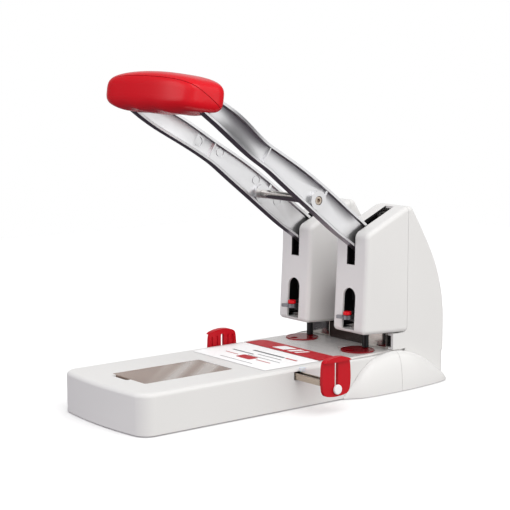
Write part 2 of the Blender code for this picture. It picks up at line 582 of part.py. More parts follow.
def make_rear():
    cover = rear_block("rear_cover", 0.0, TOWER_REAR_Y + GAP, BASE_BOTTOM)
    join(cover, box("front_apron", (-REAR_HALF_W, REAR_HALF_W), (BASE_REAR_Y + GAP, 60.0), (BASE_BOTTOM, 37.5)))
    front, low, high = 34.4, DECK_Z[1] + GAP, 53.1
    profile = ((front, low), (BASE_REAR_Y + GAP, low), (BASE_REAR_Y + GAP, 36.6), (60.0, 36.6), (60.0, 62.0),
               (TOWER_REAR_Y + GAP, 62.0), (TOWER_REAR_Y + GAP, 59.1), (50.9, 55.1), (47.0, high), (front, high))
    outer = TOWER_X + TOWER_HALF_W
    for _, side in SIDES:
        join(cover, prism("shoulder", profile, "X", side * (TOWER_X + FRAME_HALF_W + 0.6), side * outer))
        reach = sorted((side * (TOWER_X + 10.0), side * (outer - 3.0)))
        cut(cover, box("recess", reach, (30.0, 41.0), (low + 1.8, high - 2.1)))
    cut(cover, rear_block("inside", 2.4, 40.0, -5.0))
    place(cover, "white")
    half, back, corner = REAR_HALF_W - 2.9, REAR_Y - 2.9, 9.0
    foot = [(half, BASE_REAR_Y + 0.6), (half, back - corner), (half - corner, back)]
    foot += [(-x, y) for x, y in reversed(foot)]
    place(prism("rear_plate", foot, "Z", 1.4, 3.0), "black")

    housing = box("center_housing", (-17.8, 17.8), (33.0, TOWER_REAR_Y), (DECK_Z[1] + GAP, 90.0))
    join(housing, box("skirt", (-25.7, 25.7), (33.0, TOWER_REAR_Y), (DECK_Z[1] + GAP, 53.2)))
    cut(housing, box("room", (-15.8, 15.8), (35.0, 60.0), (30.0, 88.0)))
    cut(housing, box("skirt_room", (-23.7, 23.7), (35.0, 60.0), (30.0, 51.2)))
    place(housing, "brown")

    stations = ((-29.2, 0.5, 1.4), (-26.0, 1.9, 4.6), (-21.0, 4.4, 9.6), (-15.0, 7.1, 15.6), (-9.0, 8.6, 22.0),
                (-3.0, 9.3, 26.6), (4.0, 9.8, 31.2), (12.0, 10.0, 34.0), (22.0, 10.0, 36.2), (32.0, 9.9, 37.0),
                (44.0, 9.9, 36.0), (50.3, 9.6, 34.7), (52.3, 9.5, 34.2), (56.0, 9.2, 33.2), (68.0, 8.0, 28.2),
                (80.0, 6.7, 20.8), (90.0, 5.2, 14.0), (98.0, 3.4, 8.0), (103.6, 0.8, 2.0))
    shape = ((1.0, 0.0), (0.985, 0.25), (0.92, 0.48), (0.78, 0.70), (0.52, 0.89), (0.22, 0.975))
    for name, side in SIDES:
        rings = []
        for y, width, height in stations:
            wall = (BASE_HALF_W if y < 51.0 else REAR_HALF_W) + GAP
            profile = [(wall, BASE_BOTTOM)]
            profile += [(BASE_HALF_W + GAP + width * u, BASE_BOTTOM + height * v) for u, v in shape]
            profile.append((wall, BASE_BOTTOM + height))
            rings.append([(side * px, y, pz) for px, pz in profile])
        place(solid(f"fender_{name}", rings), "gloss_white", smooth=True)


def main():
    global frame_root
    clear_scene()
    frame_root = bpy.data.objects.new("hole_punch", None)
    frame_root.location = SHIFT * MM
    bpy.context.scene.collection.objects.link(frame_root)
    make_base()
    make_deck()
    make_towers()
    make_arms()
    make_handle()
    make_punches()
    make_guides()
    make_rear()
    bpy.context.view_layer.update()


main()
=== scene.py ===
"""Looks of a heavy-duty two-hole paper punch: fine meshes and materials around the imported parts."""

import json
import math

import bmesh
import bpy
from mathutils import Matrix, Vector

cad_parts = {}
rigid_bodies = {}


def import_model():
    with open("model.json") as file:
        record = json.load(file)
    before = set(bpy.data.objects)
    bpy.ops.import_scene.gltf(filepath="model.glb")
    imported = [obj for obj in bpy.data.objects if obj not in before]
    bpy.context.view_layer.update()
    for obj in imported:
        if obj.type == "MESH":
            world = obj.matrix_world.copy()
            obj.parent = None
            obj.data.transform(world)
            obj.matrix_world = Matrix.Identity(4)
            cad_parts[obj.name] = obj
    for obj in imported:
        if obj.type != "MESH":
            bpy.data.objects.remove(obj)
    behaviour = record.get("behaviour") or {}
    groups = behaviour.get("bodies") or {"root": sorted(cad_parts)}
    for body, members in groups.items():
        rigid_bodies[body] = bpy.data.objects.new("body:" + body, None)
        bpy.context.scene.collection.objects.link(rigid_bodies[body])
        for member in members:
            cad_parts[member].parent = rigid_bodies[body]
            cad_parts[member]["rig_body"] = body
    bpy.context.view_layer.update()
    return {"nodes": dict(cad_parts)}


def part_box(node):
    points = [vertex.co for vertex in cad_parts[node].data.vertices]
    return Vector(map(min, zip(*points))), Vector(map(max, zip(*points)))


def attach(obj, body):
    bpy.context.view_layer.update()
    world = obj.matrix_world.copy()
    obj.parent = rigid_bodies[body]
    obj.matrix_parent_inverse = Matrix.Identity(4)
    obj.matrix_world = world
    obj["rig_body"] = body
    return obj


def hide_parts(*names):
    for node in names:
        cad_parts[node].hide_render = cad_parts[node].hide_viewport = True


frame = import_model()

# ---------------------------------------------------------------- layout, in millimetres
# X is across from the centre plane, Y runs back from the towers' front faces, Z is up.
MM = 0.001
GAP = 0.3
THROUGH_TOP = (30.0, 40.0)
SIDES = (("left", -1), ("right", 1))
TOWER_X = 40.0
PUNCH_Y = 19.3

BASE_HALF_W = 63.3
BASE_REAR_Y = 50.0
BASE_TOP = 37.0
BASE_BOTTOM = 0.6
BASE_CORNER_R = 14.0
BASE_CORNER_Y = -237.55
BASE_CORNER_SWEEP = math.radians(82.0)
BASE_FOOT_BEVEL = 0.6
BASE_TOP_R = 3.8
BASE_FRONT_Y = -255.0
BASE_WALL = 2.6
RAIL_MOUTH_Z = (26.4, 33.9)
RAIL_MOUTHS = (((55.0, 70.0), (-88.1, -79.3)), ((-70.0, -55.0), (-61.7, -52.9)))
CHIP_HOLE_R = 5.4

WINDOW_X = (-22.6, 29.4)
WINDOW_Y = (-224.8, -130.2)
# Painted reflection streaks on the window lid, so many a metre across.
WINDOW_REFLECTION_STREAKS = 55.0
NOTCH_X = (-15.5, 7.5)
LID_TOP = 36.9
TRAY_Z = (12.0, 34.1)
NOTCH_FLOOR_Z = (34.2, 34.7)

DECK_HALF_W = 59.8
DECK_Y = (-49.5, 49.5)
DECK_Z = (35.5, 37.5)
LABEL_HALF_W = 53.9
LABEL_Y = (-114.1, -50.7)
BAND_Y = (-50.4, -28.2)
SHEET_THICK = 0.3
INK_LIFT = 0.66
INK_THICK = 0.04
DISC_Y = 9.2
DISC_R = 15.8
DISC_Z = (35.5, 38.6)
DISC_HOLE_R = 3.5
DISC_NOTCH_HALF_W = 4.8
GROOVE_W = 0.5
GROOVE_DEPTH = 0.25

TOWER_HALF_W = 21.9
TOWER_REAR_Y = 52.2
TOWER_EDGE_R = 4.2
TOWER_WALL = 2.0
ARCH_HALF_W = 8.4
ARCH_Z = (59.0, 89.6)
SLOT_HALF_W = 5.5
SLOT_BOTTOM = 119.6
SLOT_REAR_Y = 49.0
TOWER_ROOM = ((-1.4, 59.4), (2.1, 125.0), (2.5, 148.0), (49.6, 169.2), (60.0, 169.6))

PIVOT = (46.0, 118.0)
DRIVE_PIN = (19.3, 116.0)
ARM_HALF_T = 4.8
ARM_WEB = 6.0
ARM_FLANGE = 2.7
ARM_FILLET = 0.5
ARM_ROOM = 0.4
HANDLE_X = 53.0
JOG_Y = (-104.0, -168.0)
ARM_LOW = ((30.0, 114.5), (0.0, 137.2), (-20.0, 150.6), (-40.0, 165.7), (-60.0, 181.1), (-80.0, 196.4),
           (-100.0, 212.0), (-112.0, 219.8), (-126.0, 228.6), (-141.0, 238.0), (-155.5, 247.2),
           (-168.0, 255.8), (-180.0, 264.5), (-190.5, 272.5))
ARM_UP = ((44.5, 133.5), (15.3, 157.0), (-5.0, 172.2), (-25.0, 187.5), (-45.5, 202.3), (-67.5, 216.7),
          (-89.0, 229.4), (-101.2, 236.6), (-114.5, 245.7), (-129.5, 256.2), (-144.5, 265.2),
          (-158.0, 272.6), (-171.0, 280.0), (-182.5, 287.0))
ROD = (-44.5, 182.7)
BOSS_R = 8.8
BOSS_PROUD = 0.2
EYE_R = 12.0
LUG_R = 7.0
PIVOT_HOLE_R = 4.3
DRIVE_HOLE_R = 3.3
SCREW_HOLE_R = 2.8
HEAD_SEAT_R = 4.2
HEAD_SEAT_DEPTH = 4.0
CUTTER_REACH = 30.0
ARM_RIBS = (3.35, 6.71)
RIB_HALF = 0.045
EJECTOR_R = (3.9, 4.6)
EJECTOR_DEPTH = 0.45
EJECTOR_MARKS = ((-116.6, 235.0), (-92.6, 223.9), (-50.1, 195.6), (-24.4, 174.1))

HANDLE = (-182.5, 279.0)
HANDLE_HALF_L = 63.3
HANDLE_RY = 27.4
HANDLE_RZ = 17.6
HANDLE_END_POWER = 6.6
HANDLE_SECTION_POWER = 0.59
HANDLE_BARREL = 0.185
HANDLE_DOME = 3.2
HANDLE_DRAW_IN = 0.6
HANDLE_RIPPLE = 0.7
HANDLE_RIPPLE_PITCH = 36.0
HANDLE_RIPPLE_SHIFT = 4.0
HANDLE_TURNS = (0.02, 0.3, 1.2, 3, 6, 10, 15, 21, 28, 36, 45, 54, 63, 71, 78, 83, 86, 88, 89.3, 89.85, 89.98)
HANDLE_ARCH = 1.9
HANDLE_TILT = math.radians(-7.6)
SEAM_ANGLE = math.radians(143.5)
SEAM = 0.5

GUIDE_THICK = 3.2
GUIDE_LIP = 2.3
GUIDE_X = {"left": 64.2, "right": 96.9}
GUIDE_OUTLINE = ((-87.2, 32.0), (-86.4, 22.0), (-84.0, 18.0), (-79.0, 16.6), (-70.5, 16.0), (-62.0, 16.6),
                 (-57.0, 18.0), (-54.6, 22.0), (-53.8, 32.0), (-54.8, 46.5), (-57.0, 49.3), (-63.0, 51.4),
                 (-70.5, 52.1), (-78.0, 51.4), (-84.4, 49.6), (-86.6, 46.5))
GUIDE_CREST = ((-86.8, 47.2), (-84.6, 49.6), (-78.0, 51.4), (-70.5, 52.1), (-63.0, 51.4), (-56.8, 49.3),
               (-54.6, 47.2))
GUIDE_SLOT = (-70.8, 1.9, 20.6, 47.2)
GUIDE_GROOVES = (-83.4, -77.2, -64.6, -58.4)
KNOB_Z = 22.8
KNOB_R = 4.4
SHANK_R = 1.5

REAR_Y = 103.0
REAR_HALF_W = TOWER_X + TOWER_HALF_W
BRIDGE_TOP = 92.0
SHOULDER_Y = 34.4
SHOULDER_TOP = 53.1
REAR_WALL = 2.4
REAR_CORNER_R = 6.5
FRAME_HALF_W = 14.0
WING_FRONT = ((30.0, 20.0), (30.0, 162.6), (49.0, 171.2), (57.6, 172.4))
WING_BACK = ((64.6, 162.0), (69.9, 154.0), (74.6, 146.0), (79.5, 138.0), (84.0, 130.0), (88.2, 122.0),
             (91.8, 114.0), (94.8, 106.0), (97.3, 98.0), (99.4, 90.0), (101.0, 82.0), (102.1, 74.0),
             (102.8, 66.0), (REAR_Y, 58.0), (REAR_Y, 30.0), (REAR_Y, 20.0))
FENDER = ((-29.2, 0.5, 1.4), (-26.0, 1.9, 4.6), (-21.0, 4.4, 9.6), (-15.0, 7.1, 15.6), (-9.0, 8.6, 22.0),
          (-3.0, 9.3, 26.6), (4.0, 9.8, 31.2), (12.0, 10.0, 34.0), (22.0, 10.0, 36.2), (32.0, 9.9, 37.0),
          (44.0, 9.9, 36.0), (56.0, 9.2, 33.2), (68.0, 8.0, 28.2), (80.0, 6.7, 20.8), (90.0, 5.2, 14.0),
          (98.0, 3.4, 8.0), (103.6, 0.8, 2.0))
FENDER_SHAPE = ((1.0, 0.0), (0.985, 0.25), (0.92, 0.48), (0.78, 0.70), (0.52, 0.89), (0.22, 0.975),
                (0.0, 1.0))
FENDER_CREASE_Y = 36.0
CREASE_HALF_W = 0.18
CREASE_DEPTH = 0.5

base_low, base_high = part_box("base_cover")
punch_low, punch_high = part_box("punch_right")
ORIGIN = Vector(((base_low.x + base_high.x) / 2, (punch_low.y + punch_high.y) / 2 - PUNCH_Y * MM, 0.0))


def world(point):
    return Vector(point) * MM + ORIGIN


# ---------------------------------------------------------------- materials
MIX_A, MIX_B, MIX_RESULT = 6, 7, 2  # the colour sockets of a mix node, whose names aren't unique


def mixed(tree, factor, first, second):
    """The first colour where the factor is 0, the second where it's 1. Each is a colour or a socket."""
    node = tree.nodes.new("ShaderNodeMix")
    node.data_type = "RGBA"
    tree.links.new(factor, node.inputs["Factor"])
    for socket, value in ((node.inputs[MIX_A], first), (node.inputs[MIX_B], second)):
        if isinstance(value, tuple):
            socket.default_value = (*value, 1.0)
        else:
            tree.links.new(value, socket)
    return node.outputs[MIX_RESULT]


class Surface:
    """A node material: mottled colour, uneven roughness and bump, all in object space."""

    def __init__(self, name, rough, metallic=0.0, **sockets):
        self.material = bpy.data.materials.new(name)
        self.material.use_nodes = True
        self.tree = self.material.node_tree
        self.shader = self.tree.nodes["Principled BSDF"]
        self.shader.inputs["Metallic"].default_value = metallic
        self.shader.inputs["Roughness"].default_value = rough
        for socket, value in sockets.items():
            self.shader.inputs[socket.replace("_", " ")].default_value = value
        self.place = self.tree.nodes.new("ShaderNodeTexCoord").outputs["Object"]
        self.normal = None

    def link(self, source, target):
        self.tree.links.new(source, target)

    def noise_through(self, mapping, detail, roughness):
        self.link(self.place, mapping.inputs["Vector"])
        noise = self.tree.nodes.new("ShaderNodeTexNoise")
        noise.inputs["Scale"].default_value = 1.0
        noise.inputs["Detail"].default_value = detail
        noise.inputs["Roughness"].default_value = roughness
        self.link(mapping.outputs["Vector"], noise.inputs["Vector"])
        return noise.outputs["Fac"]

    def noise(self, scale, detail=2.0, stretch=(1, 1, 1), roughness=0.5):
        """Noise of so many waves a metre along each axis."""
        mapping = self.tree.nodes.new("ShaderNodeMapping")
        mapping.inputs["Scale"].default_value = [scale * s for s in stretch]
        return self.noise_through(mapping, detail, roughness)

    def bands(self, across, along, turn):
        """Long soft bands, so many waves a metre across and along, turned about Z."""
        mapping = self.tree.nodes.new("ShaderNodeMapping")
        mapping.vector_type = "TEXTURE"
        mapping.inputs["Rotation"].default_value = (0.0, 0.0, turn)
        mapping.inputs["Scale"].default_value = (1.0 / across, 1.0 / along, 1.0)
        return self.noise_through(mapping, 0.0, 0.5)

    def spread(self, source, low, high, start=0.3, end=0.7):
        """The source between start and end, made to run from low to high."""
        node = self.tree.nodes.new("ShaderNodeMapRange")
        for socket, value in (("From Min", start), ("From Max", end), ("To Min", low), ("To Max", high)):
            node.inputs[socket].default_value = value
        self.link(source, node.inputs["Value"])
        return node.outputs["Result"]

    def underside_shade_mask(self):
        """1 on the piece's own undersides, 0 on its sides and top: the mask for painted shade on undersides.
        """
        split = self.tree.nodes.new("ShaderNodeSeparateXYZ")
        self.link(self.tree.nodes.new("ShaderNodeTexCoord").outputs["Normal"], split.inputs["Vector"])
        return self.spread(split.outputs["Z"], 1.0, 0.0, -0.6, -0.15)

    def mottle(self, source, light, dark, start=0.3, end=0.7):
        """The light colour where the source is low and the dark one where it's high."""
        return mixed(self.tree, self.spread(source, 0.0, 1.0, start, end), light, dark)

    def colour(self, source):
        self.link(source, self.shader.inputs["Base Color"])

    def roughness(self, source, low, high, start=0.3, end=0.7):
        self.link(self.spread(source, low, high, start, end), self.shader.inputs["Roughness"])

    def bump(self, source, strength, depth):
        node = self.tree.nodes.new("ShaderNodeBump")
        node.inputs["Strength"].default_value = strength
        node.inputs["Distance"].default_value = depth
        self.link(source, node.inputs["Height"])
        if self.normal is not None:
            self.link(self.normal, node.inputs["Normal"])
        self.normal = node.outputs["Normal"]
        self.link(self.normal, self.shader.inputs["Normal"])


def moulded(name, light, dark, rough, grain=0.25, **sockets):
    """Moulded plastic: a fine eroded grain, faint flow marks and slightly uneven gloss."""
    made = Surface(name, rough, **sockets)
    made.colour(made.mottle(made.noise(14.0, 1.0), light, dark, 0.2, 0.8))
    made.roughness(made.noise(60.0, 2.0), rough - 0.02, rough + 0.03, 0.2, 0.8)
    made.bump(made.noise(2600.0, 2.0), grain, 0.00004)
    made.bump(made.noise(35.0, 1.0), 0.12, 0.00015)
    return made.material


def white_plastic():
    return moulded("white_satin", (0.70, 0.695, 0.685), (0.675, 0.67, 0.66), 0.40)


def gloss_white_plastic():
    return moulded("white_gloss", (0.72, 0.715, 0.705), (0.70, 0.695, 0.685), 0.2, grain=0.06)


def red_plastic():
    return moulded("red_grip", (0.66, 0.006, 0.014), (0.60, 0.005, 0.012), 0.24, grain=0.05,
                    Specular_IOR_Level=0.3)


def guide_plastic():
    return moulded("red_guide", (0.50, 0.004, 0.012), (0.46, 0.003, 0.010), 0.30, grain=0.05,
                    Specular_IOR_Level=0.2)


def disc_plastic():
    return moulded("disc_red", (0.27, 0.003, 0.009), (0.20, 0.002, 0.007), 0.14, grain=0.05,
                    Specular_IOR_Level=0.35)


def black_plastic():
    return moulded("black_plastic", (0.020, 0.020, 0.022), (0.012, 0.012, 0.013), 0.42)


def brown_plastic():
    return moulded("brown_gloss", (0.030, 0.019, 0.016), (0.020, 0.012, 0.010), 0.26, grain=0.06,
                    Specular_IOR_Level=0.3)


def knob_plastic():
    return moulded("knob_white", (0.84, 0.84, 0.84), (0.78, 0.78, 0.78), 0.36)


def frosted_plastic():
    return moulded("frosted", (0.72, 0.74, 0.77), (0.62, 0.64, 0.67), 0.38, Subsurface_Weight=0.2)


def rubber():
    return moulded("rubber", (0.028, 0.028, 0.028), (0.018, 0.018, 0.018), 0.8, grain=0.5)


def cast_aluminium():
    """Blasted casting: pale grey, fine pitting and a little smeared polish, with painted shade on its
    undersides.
    """
    made = Surface("cast_aluminium", 0.3, 0.92)
    cast = made.mottle(made.noise(22.0, 1.0), (0.80, 0.80, 0.81), (0.77, 0.77, 0.78))
    # Painted shade: the undersides are mixed to a dark purple grey.
    made.colour(mixed(made.tree, made.underside_shade_mask(), cast, (0.30, 0.27, 0.31)))
    made.roughness(made.noise(50.0, 1.0), 0.285, 0.31)
    made.bump(made.noise(1500.0, 2.0), 0.05, 0.00003)
    return made.material


def zinc():
    """Dull zinc casting, darker than the arms."""
    made = Surface("zinc_casting", 0.4, 0.8)
    made.colour(made.mottle(made.noise(120.0, 4.0), (0.30, 0.30, 0.32), (0.20, 0.20, 0.22)))
    made.roughness(made.noise(200.0, 4.0), 0.32, 0.5)
    made.bump(made.noise(1800.0, 3.0), 0.3, 0.00005)
    return made.material


def satin_steel():
    """Rolled sheet, ground across: fine lines along X."""
    made = Surface("satin_steel", 0.3, 0.45, Anisotropic=0.4)
    lines = made.noise(40.0, 4.0, stretch=(0.25, 60.0, 60.0), roughness=0.7)
    made.colour(made.mottle(lines, (0.84, 0.82, 0.805), (0.76, 0.74, 0.725)))
    made.roughness(lines, 0.24, 0.40)
    made.bump(lines, 0.12, 0.00005)
    return made.material


def polished_steel():
    made = Surface("polished_steel", 0.14, 1.0)
    scratches = made.noise(30.0, 5.0, stretch=(1.0, 30.0, 30.0), roughness=0.7)
    made.colour(made.mottle(scratches, (0.74, 0.72, 0.69), (0.64, 0.61, 0.57)))
    made.roughness(scratches, 0.09, 0.2)
    return made.material


def rail_steel():
    made = Surface("rail_steel", 0.28, 1.0)
    lines = made.noise(30.0, 4.0, stretch=(0.5, 50.0, 50.0), roughness=0.7)
    made.colour(made.mottle(lines, (0.62, 0.53, 0.44), (0.48, 0.40, 0.33)))
    made.roughness(lines, 0.2, 0.36)
    return made.material


def black_steel():
    made = Surface("black_oxide", 0.3, 0.7)
    lines = made.noise(50.0, 4.0, stretch=(30.0, 30.0, 0.5))
    made.colour(made.mottle(lines, (0.030, 0.030, 0.032), (0.016, 0.016, 0.018)))
    made.roughness(lines, 0.22, 0.38)
    return made.material


def paper():
    made = Surface("label_paper", 0.5)
    made.colour(made.mottle(made.noise(300.0, 5.0), (0.93, 0.93, 0.93), (0.88, 0.88, 0.885)))
    made.roughness(made.noise(120.0, 3.0), 0.42, 0.55)
    made.bump(made.noise(1800.0, 4.0), 0.15, 0.00003)
    return made.material


def print_ink(name, light, dark):
    made = Surface(name, 0.5, Specular_IOR_Level=0.2)
    made.colour(made.mottle(made.noise(500.0, 5.0), light, dark))
    made.roughness(made.noise(150.0, 3.0), 0.36, 0.5)
    return made.material


def smoked_window():
    """Clear smoked plastic, tinted brown, with slanting light streaks painted in as reflections."""
    made = Surface("smoked_window", 0.05, Transmission_Weight=0.6, IOR=1.45, Specular_IOR_Level=0.3)
    tint = made.mottle(made.noise(12.0, 1.0), (0.60, 0.45, 0.37), (0.46, 0.34, 0.28))
    reflection_streaks = made.bands(WINDOW_REFLECTION_STREAKS, 3.0, math.radians(40.0))
    # Painted reflection: slanting bands lighten the base colour.
    made.colour(made.mottle(reflection_streaks, tint, (0.84, 0.77, 0.72), 0.46, 0.62))
    made.roughness(made.noise(40.0, 3.0), 0.03, 0.09)
    return made.material


def tray_plastic():
    return moulded("tray_brown", (0.20, 0.15, 0.12), (0.14, 0.105, 0.085), 0.5)


def floor_surface():
    made = Surface("floor", 0.6)
    made.colour(made.mottle(made.noise(2.0, 2.0), (0.95, 0.95, 0.95), (0.94, 0.94, 0.94)))
    return made.material


WHITE = white_plastic()
GLOSS_WHITE = gloss_white_plastic()
RED = red_plastic()
GUIDE_RED = guide_plastic()
DISC_RED = disc_plastic()
# Black plastic parts; the same material is also used as painted shade inside the towers and behind the
# recesses.
BLACK_AND_SHADE = black_plastic()
BROWN = brown_plastic()
KNOB = knob_plastic()
FROSTED = frosted_plastic()
RUBBER = rubber()
ALUMINIUM = cast_aluminium()
ZINC = zinc()
STEEL = satin_steel()
POLISHED = polished_steel()
RAIL = rail_steel()
BLACK_STEEL = black_steel()
PAPER = paper()
RED_INK = print_ink("ink_red", (0.48, 0.005, 0.014), (0.44, 0.004, 0.012))
GREY_INK = print_ink("ink_grey", (0.10, 0.10, 0.11), (0.14, 0.14, 0.15))
WHITE_INK = print_ink("ink_white", (0.92, 0.92, 0.92), (0.88, 0.88, 0.88))
SMOKED = smoked_window()
TRAY = tray_plastic()


# ---------------------------------------------------------------- mesh tools
def solid(name, rings):
    """A closed solid through rings of equal length, capped at both ends."""
    mesh = bpy.data.meshes.new(name)
    bm = bmesh.new()
    loops = [[bm.verts.new(world(p)) for p in ring] for ring in rings]
    for first, second in zip(loops, loops[1:]):
        for i in range(len(first)):
            j = (i + 1) % len(first)
            bm.faces.new((first[i], first[j], second[j], second[i]))
    bm.faces.new(loops[0])
    bm.faces.new(list(reversed(loops[-1])))
    bmesh.ops.recalc_face_normals(bm, faces=bm.faces)
    bm.to_mesh(mesh)
    bm.free()
    obj = bpy.data.objects.new(name, mesh)
    bpy.context.scene.collection.objects.link(obj)
    return obj


def along(axis, depth, u, v):
    return {"X": (depth, u, v), "Y": (u, depth, v), "Z": (u, v, depth)}[axis]


def prism(name, outline, axis, start, end):
    return solid(name, [[along(axis, depth, u, v) for u, v in outline] for depth in (start, end)])


def rectangle(x, y):
    return ((x[0], y[0]), (x[1], y[0]), (x[1], y[1]), (x[0], y[1]))


def box(name, x, y, z):
    return prism(name, rectangle(x, y), "Z", *z)


def circle(u, v, r, count, start=0.0):
    turns = [start + math.tau * i / count for i in range(count)]
    return [(u + r * math.cos(t), v + r * math.sin(t)) for t in turns]


def rod(name, axis, start, end, u, v, r, count=48):
    return prism(name, circle(u, v, r, count), axis, start, end)


def area(outline):
    return sum(a[0] * b[1] - b[0] * a[1] for a, b in zip(outline, outline[1:] + outline[:1])) / 2


def inset(outline, depth):
    """The convex outline moved inwards by depth."""
    points = [Vector(p) for p in outline]
    turn = 1 if area(list(outline)) > 0 else -1
    moved = []
    for before, here, after in zip(points[-1:] + points[:-1], points, points[1:] + points[:1]):
        a = (here - before).normalized()
        b = (after - here).normalized()
        na = Vector((-a.y, a.x)) * turn
        nb = Vector((-b.y, b.x)) * turn
        moved.append(here + (na + nb) * depth / (1 + na.dot(nb)))
    return [tuple(p) for p in moved]


def rounded(outline, radii, steps=6):
    """The outline with its corners turned into arcs of the given radii."""
    points = [Vector(p) for p in outline]
    made = []
    for i, here in enumerate(points):
        radius = radii[i] if isinstance(radii, (list, tuple)) else radii
        if radius <= 0:
            made.append(tuple(here))
            continue
        a = (points[i - 1] - here).normalized()
        b = (points[(i + 1) % len(points)] - here).normalized()
        half = a.angle(b) / 2
        reach = radius / math.tan(half)
        centre = here + (a + b).normalized() * radius / math.sin(half)
        first, last = here + a * reach - centre, here + b * reach - centre
        sweep = first.angle_signed(last)
        for k in range(steps + 1):
            turn = -sweep * k / steps
            made.append(tuple(centre + Matrix.Rotation(turn, 2) @ first))
    return made


def spline(points, t):
    """The Catmull-Rom curve through the points, at t counted in points."""
    i = min(int(t), len(points) - 2)
    f = t - i
    p = [Vector(points[min(max(i + k, 0), len(points) - 1)]) for k in (-1, 0, 1, 2)]
    return (p[1] * 2 + (p[2] - p[0]) * f + (p[0] * 2 - p[1] * 5 + p[2] * 4 - p[3]) * f * f
            + (p[1] * 3 - p[0] - p[2] * 3 + p[3]) * f ** 3) / 2


def smoothed(points, per=4):
    count = (len(points) - 1) * per
    return [tuple(spline(points, i / per)) for i in range(count + 1)]


def softened(outline, rounds=2):
    """The outline with its corners cut again and again into a smooth curve."""
    for _ in range(rounds):
        pairs = zip(outline, outline[1:] + outline[:1])
        outline = [tuple(Vector(a).lerp(Vector(b), t)) for a, b in pairs for t in (0.22, 0.78)]
    return outline


def round_over(radius, steps=5):
    """Pairs of how far along and how far in, round a quarter circle from the end face to the side."""
    turns = [math.pi / 2 * i / steps for i in range(steps + 1)]
    return [(radius * (1 - math.sin(t)), radius * (1 - math.cos(t))) for t in turns]


def rounded_prism(name, outline, axis, start, end, radius, steps=5):
    """A prism whose two ends are rounded over."""
    arc = round_over(radius, steps)
    rings = [(start + a, b) for a, b in reversed(arc)] + [(end - a, b) for a, b in arc]
    return solid(name, [[along(axis, at, u, v) for u, v in inset(outline, depth)] for at, depth in rings])


def combine(target, other, operation):
    modifier = target.modifiers.new(operation, "BOOLEAN")
    modifier.operation = operation
    modifier.solver = "EXACT"
    modifier.object = other
    graph = bpy.context.evaluated_depsgraph_get()
    mesh = bpy.data.meshes.new_from_object(target.evaluated_get(graph))
    target.modifiers.clear()
    target.data = mesh
    bpy.data.objects.remove(other, do_unlink=True)
    return target


def cut(target, *others):
    for other in others:
        combine(target, other, "DIFFERENCE")
    return target


def join(target, *others):
    for other in others:
        combine(target, other, "UNION")
    return target


def keep(target, other):
    return combine(target, other, "INTERSECT")


def clean(obj):
    """Welds split points and merges flat triangles, so that edges can be bevelled."""
    bm = bmesh.new()
    bm.from_mesh(obj.data)
    bmesh.ops.remove_doubles(bm, verts=bm.verts, dist=0.002 * MM)
    bmesh.ops.dissolve_limit(bm, angle_limit=math.radians(0.4), verts=bm.verts, edges=bm.edges)
    bm.to_mesh(obj.data)
    bm.free()


def dress(obj, material, body, bevel=0.3, segments=2, angle=32.0, nodes=(), even=True):
    """Finishes a piece: soft edges, even shading, its material, its body and the nodes it stands for."""
    obj.data.materials.clear()
    obj.data.materials.append(material)
    for face in obj.data.polygons:
        face.material_index = 0
        face.use_smooth = True
    obj.data.set_sharp_from_angle(angle=math.radians(angle))
    if bevel:
        modifier = obj.modifiers.new("edges", "BEVEL")
        modifier.width = bevel * MM
        modifier.segments = segments
        modifier.limit_method = "ANGLE"
        modifier.angle_limit = math.radians(angle)
        modifier.miter_outer = "MITER_ARC"
        modifier.use_clamp_overlap = True
        if even:
            weighted = obj.modifiers.new("shading", "WEIGHTED_NORMAL")
            weighted.keep_sharp = False
            weighted.weight = 60
    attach(obj, body)
    if nodes:
        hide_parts(*nodes)
    return obj


def refine(node, material, bevel=0.25, angle=32.0):
    """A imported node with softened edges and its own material."""
    source = frame["nodes"][node]
    obj = bpy.data.objects.new(f"{node}_fine", source.data.copy())
    bpy.context.scene.collection.objects.link(obj)
    clean(obj)
    return dress(obj, material, source["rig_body"], bevel, angle=angle, nodes=(node,))


# ---------------------------------------------------------------- base
def base_outline(margin=0.0):
    """Straight sides, round front corners and a slightly bowed front."""
    turns = [BASE_CORNER_SWEEP * i / 12 for i in range(13)]
    arc = [(BASE_HALF_W - BASE_CORNER_R + BASE_CORNER_R * math.cos(turn),
            BASE_CORNER_Y - BASE_CORNER_R * math.sin(turn)) for turn in turns]
    reach, end = arc[-1]
    bow = (end - BASE_FRONT_Y) / reach ** 2
    front = [(reach * k, BASE_FRONT_Y + bow * (reach * k) ** 2) for k in (0.8, 0.6, 0.4, 0.2)]
    right = [(BASE_HALF_W, BASE_REAR_Y), *arc, *front]
    outline = right + [(0.0, BASE_FRONT_Y)] + [(-x, y) for x, y in reversed(right)]
    return inset(outline, margin) if margin else outline


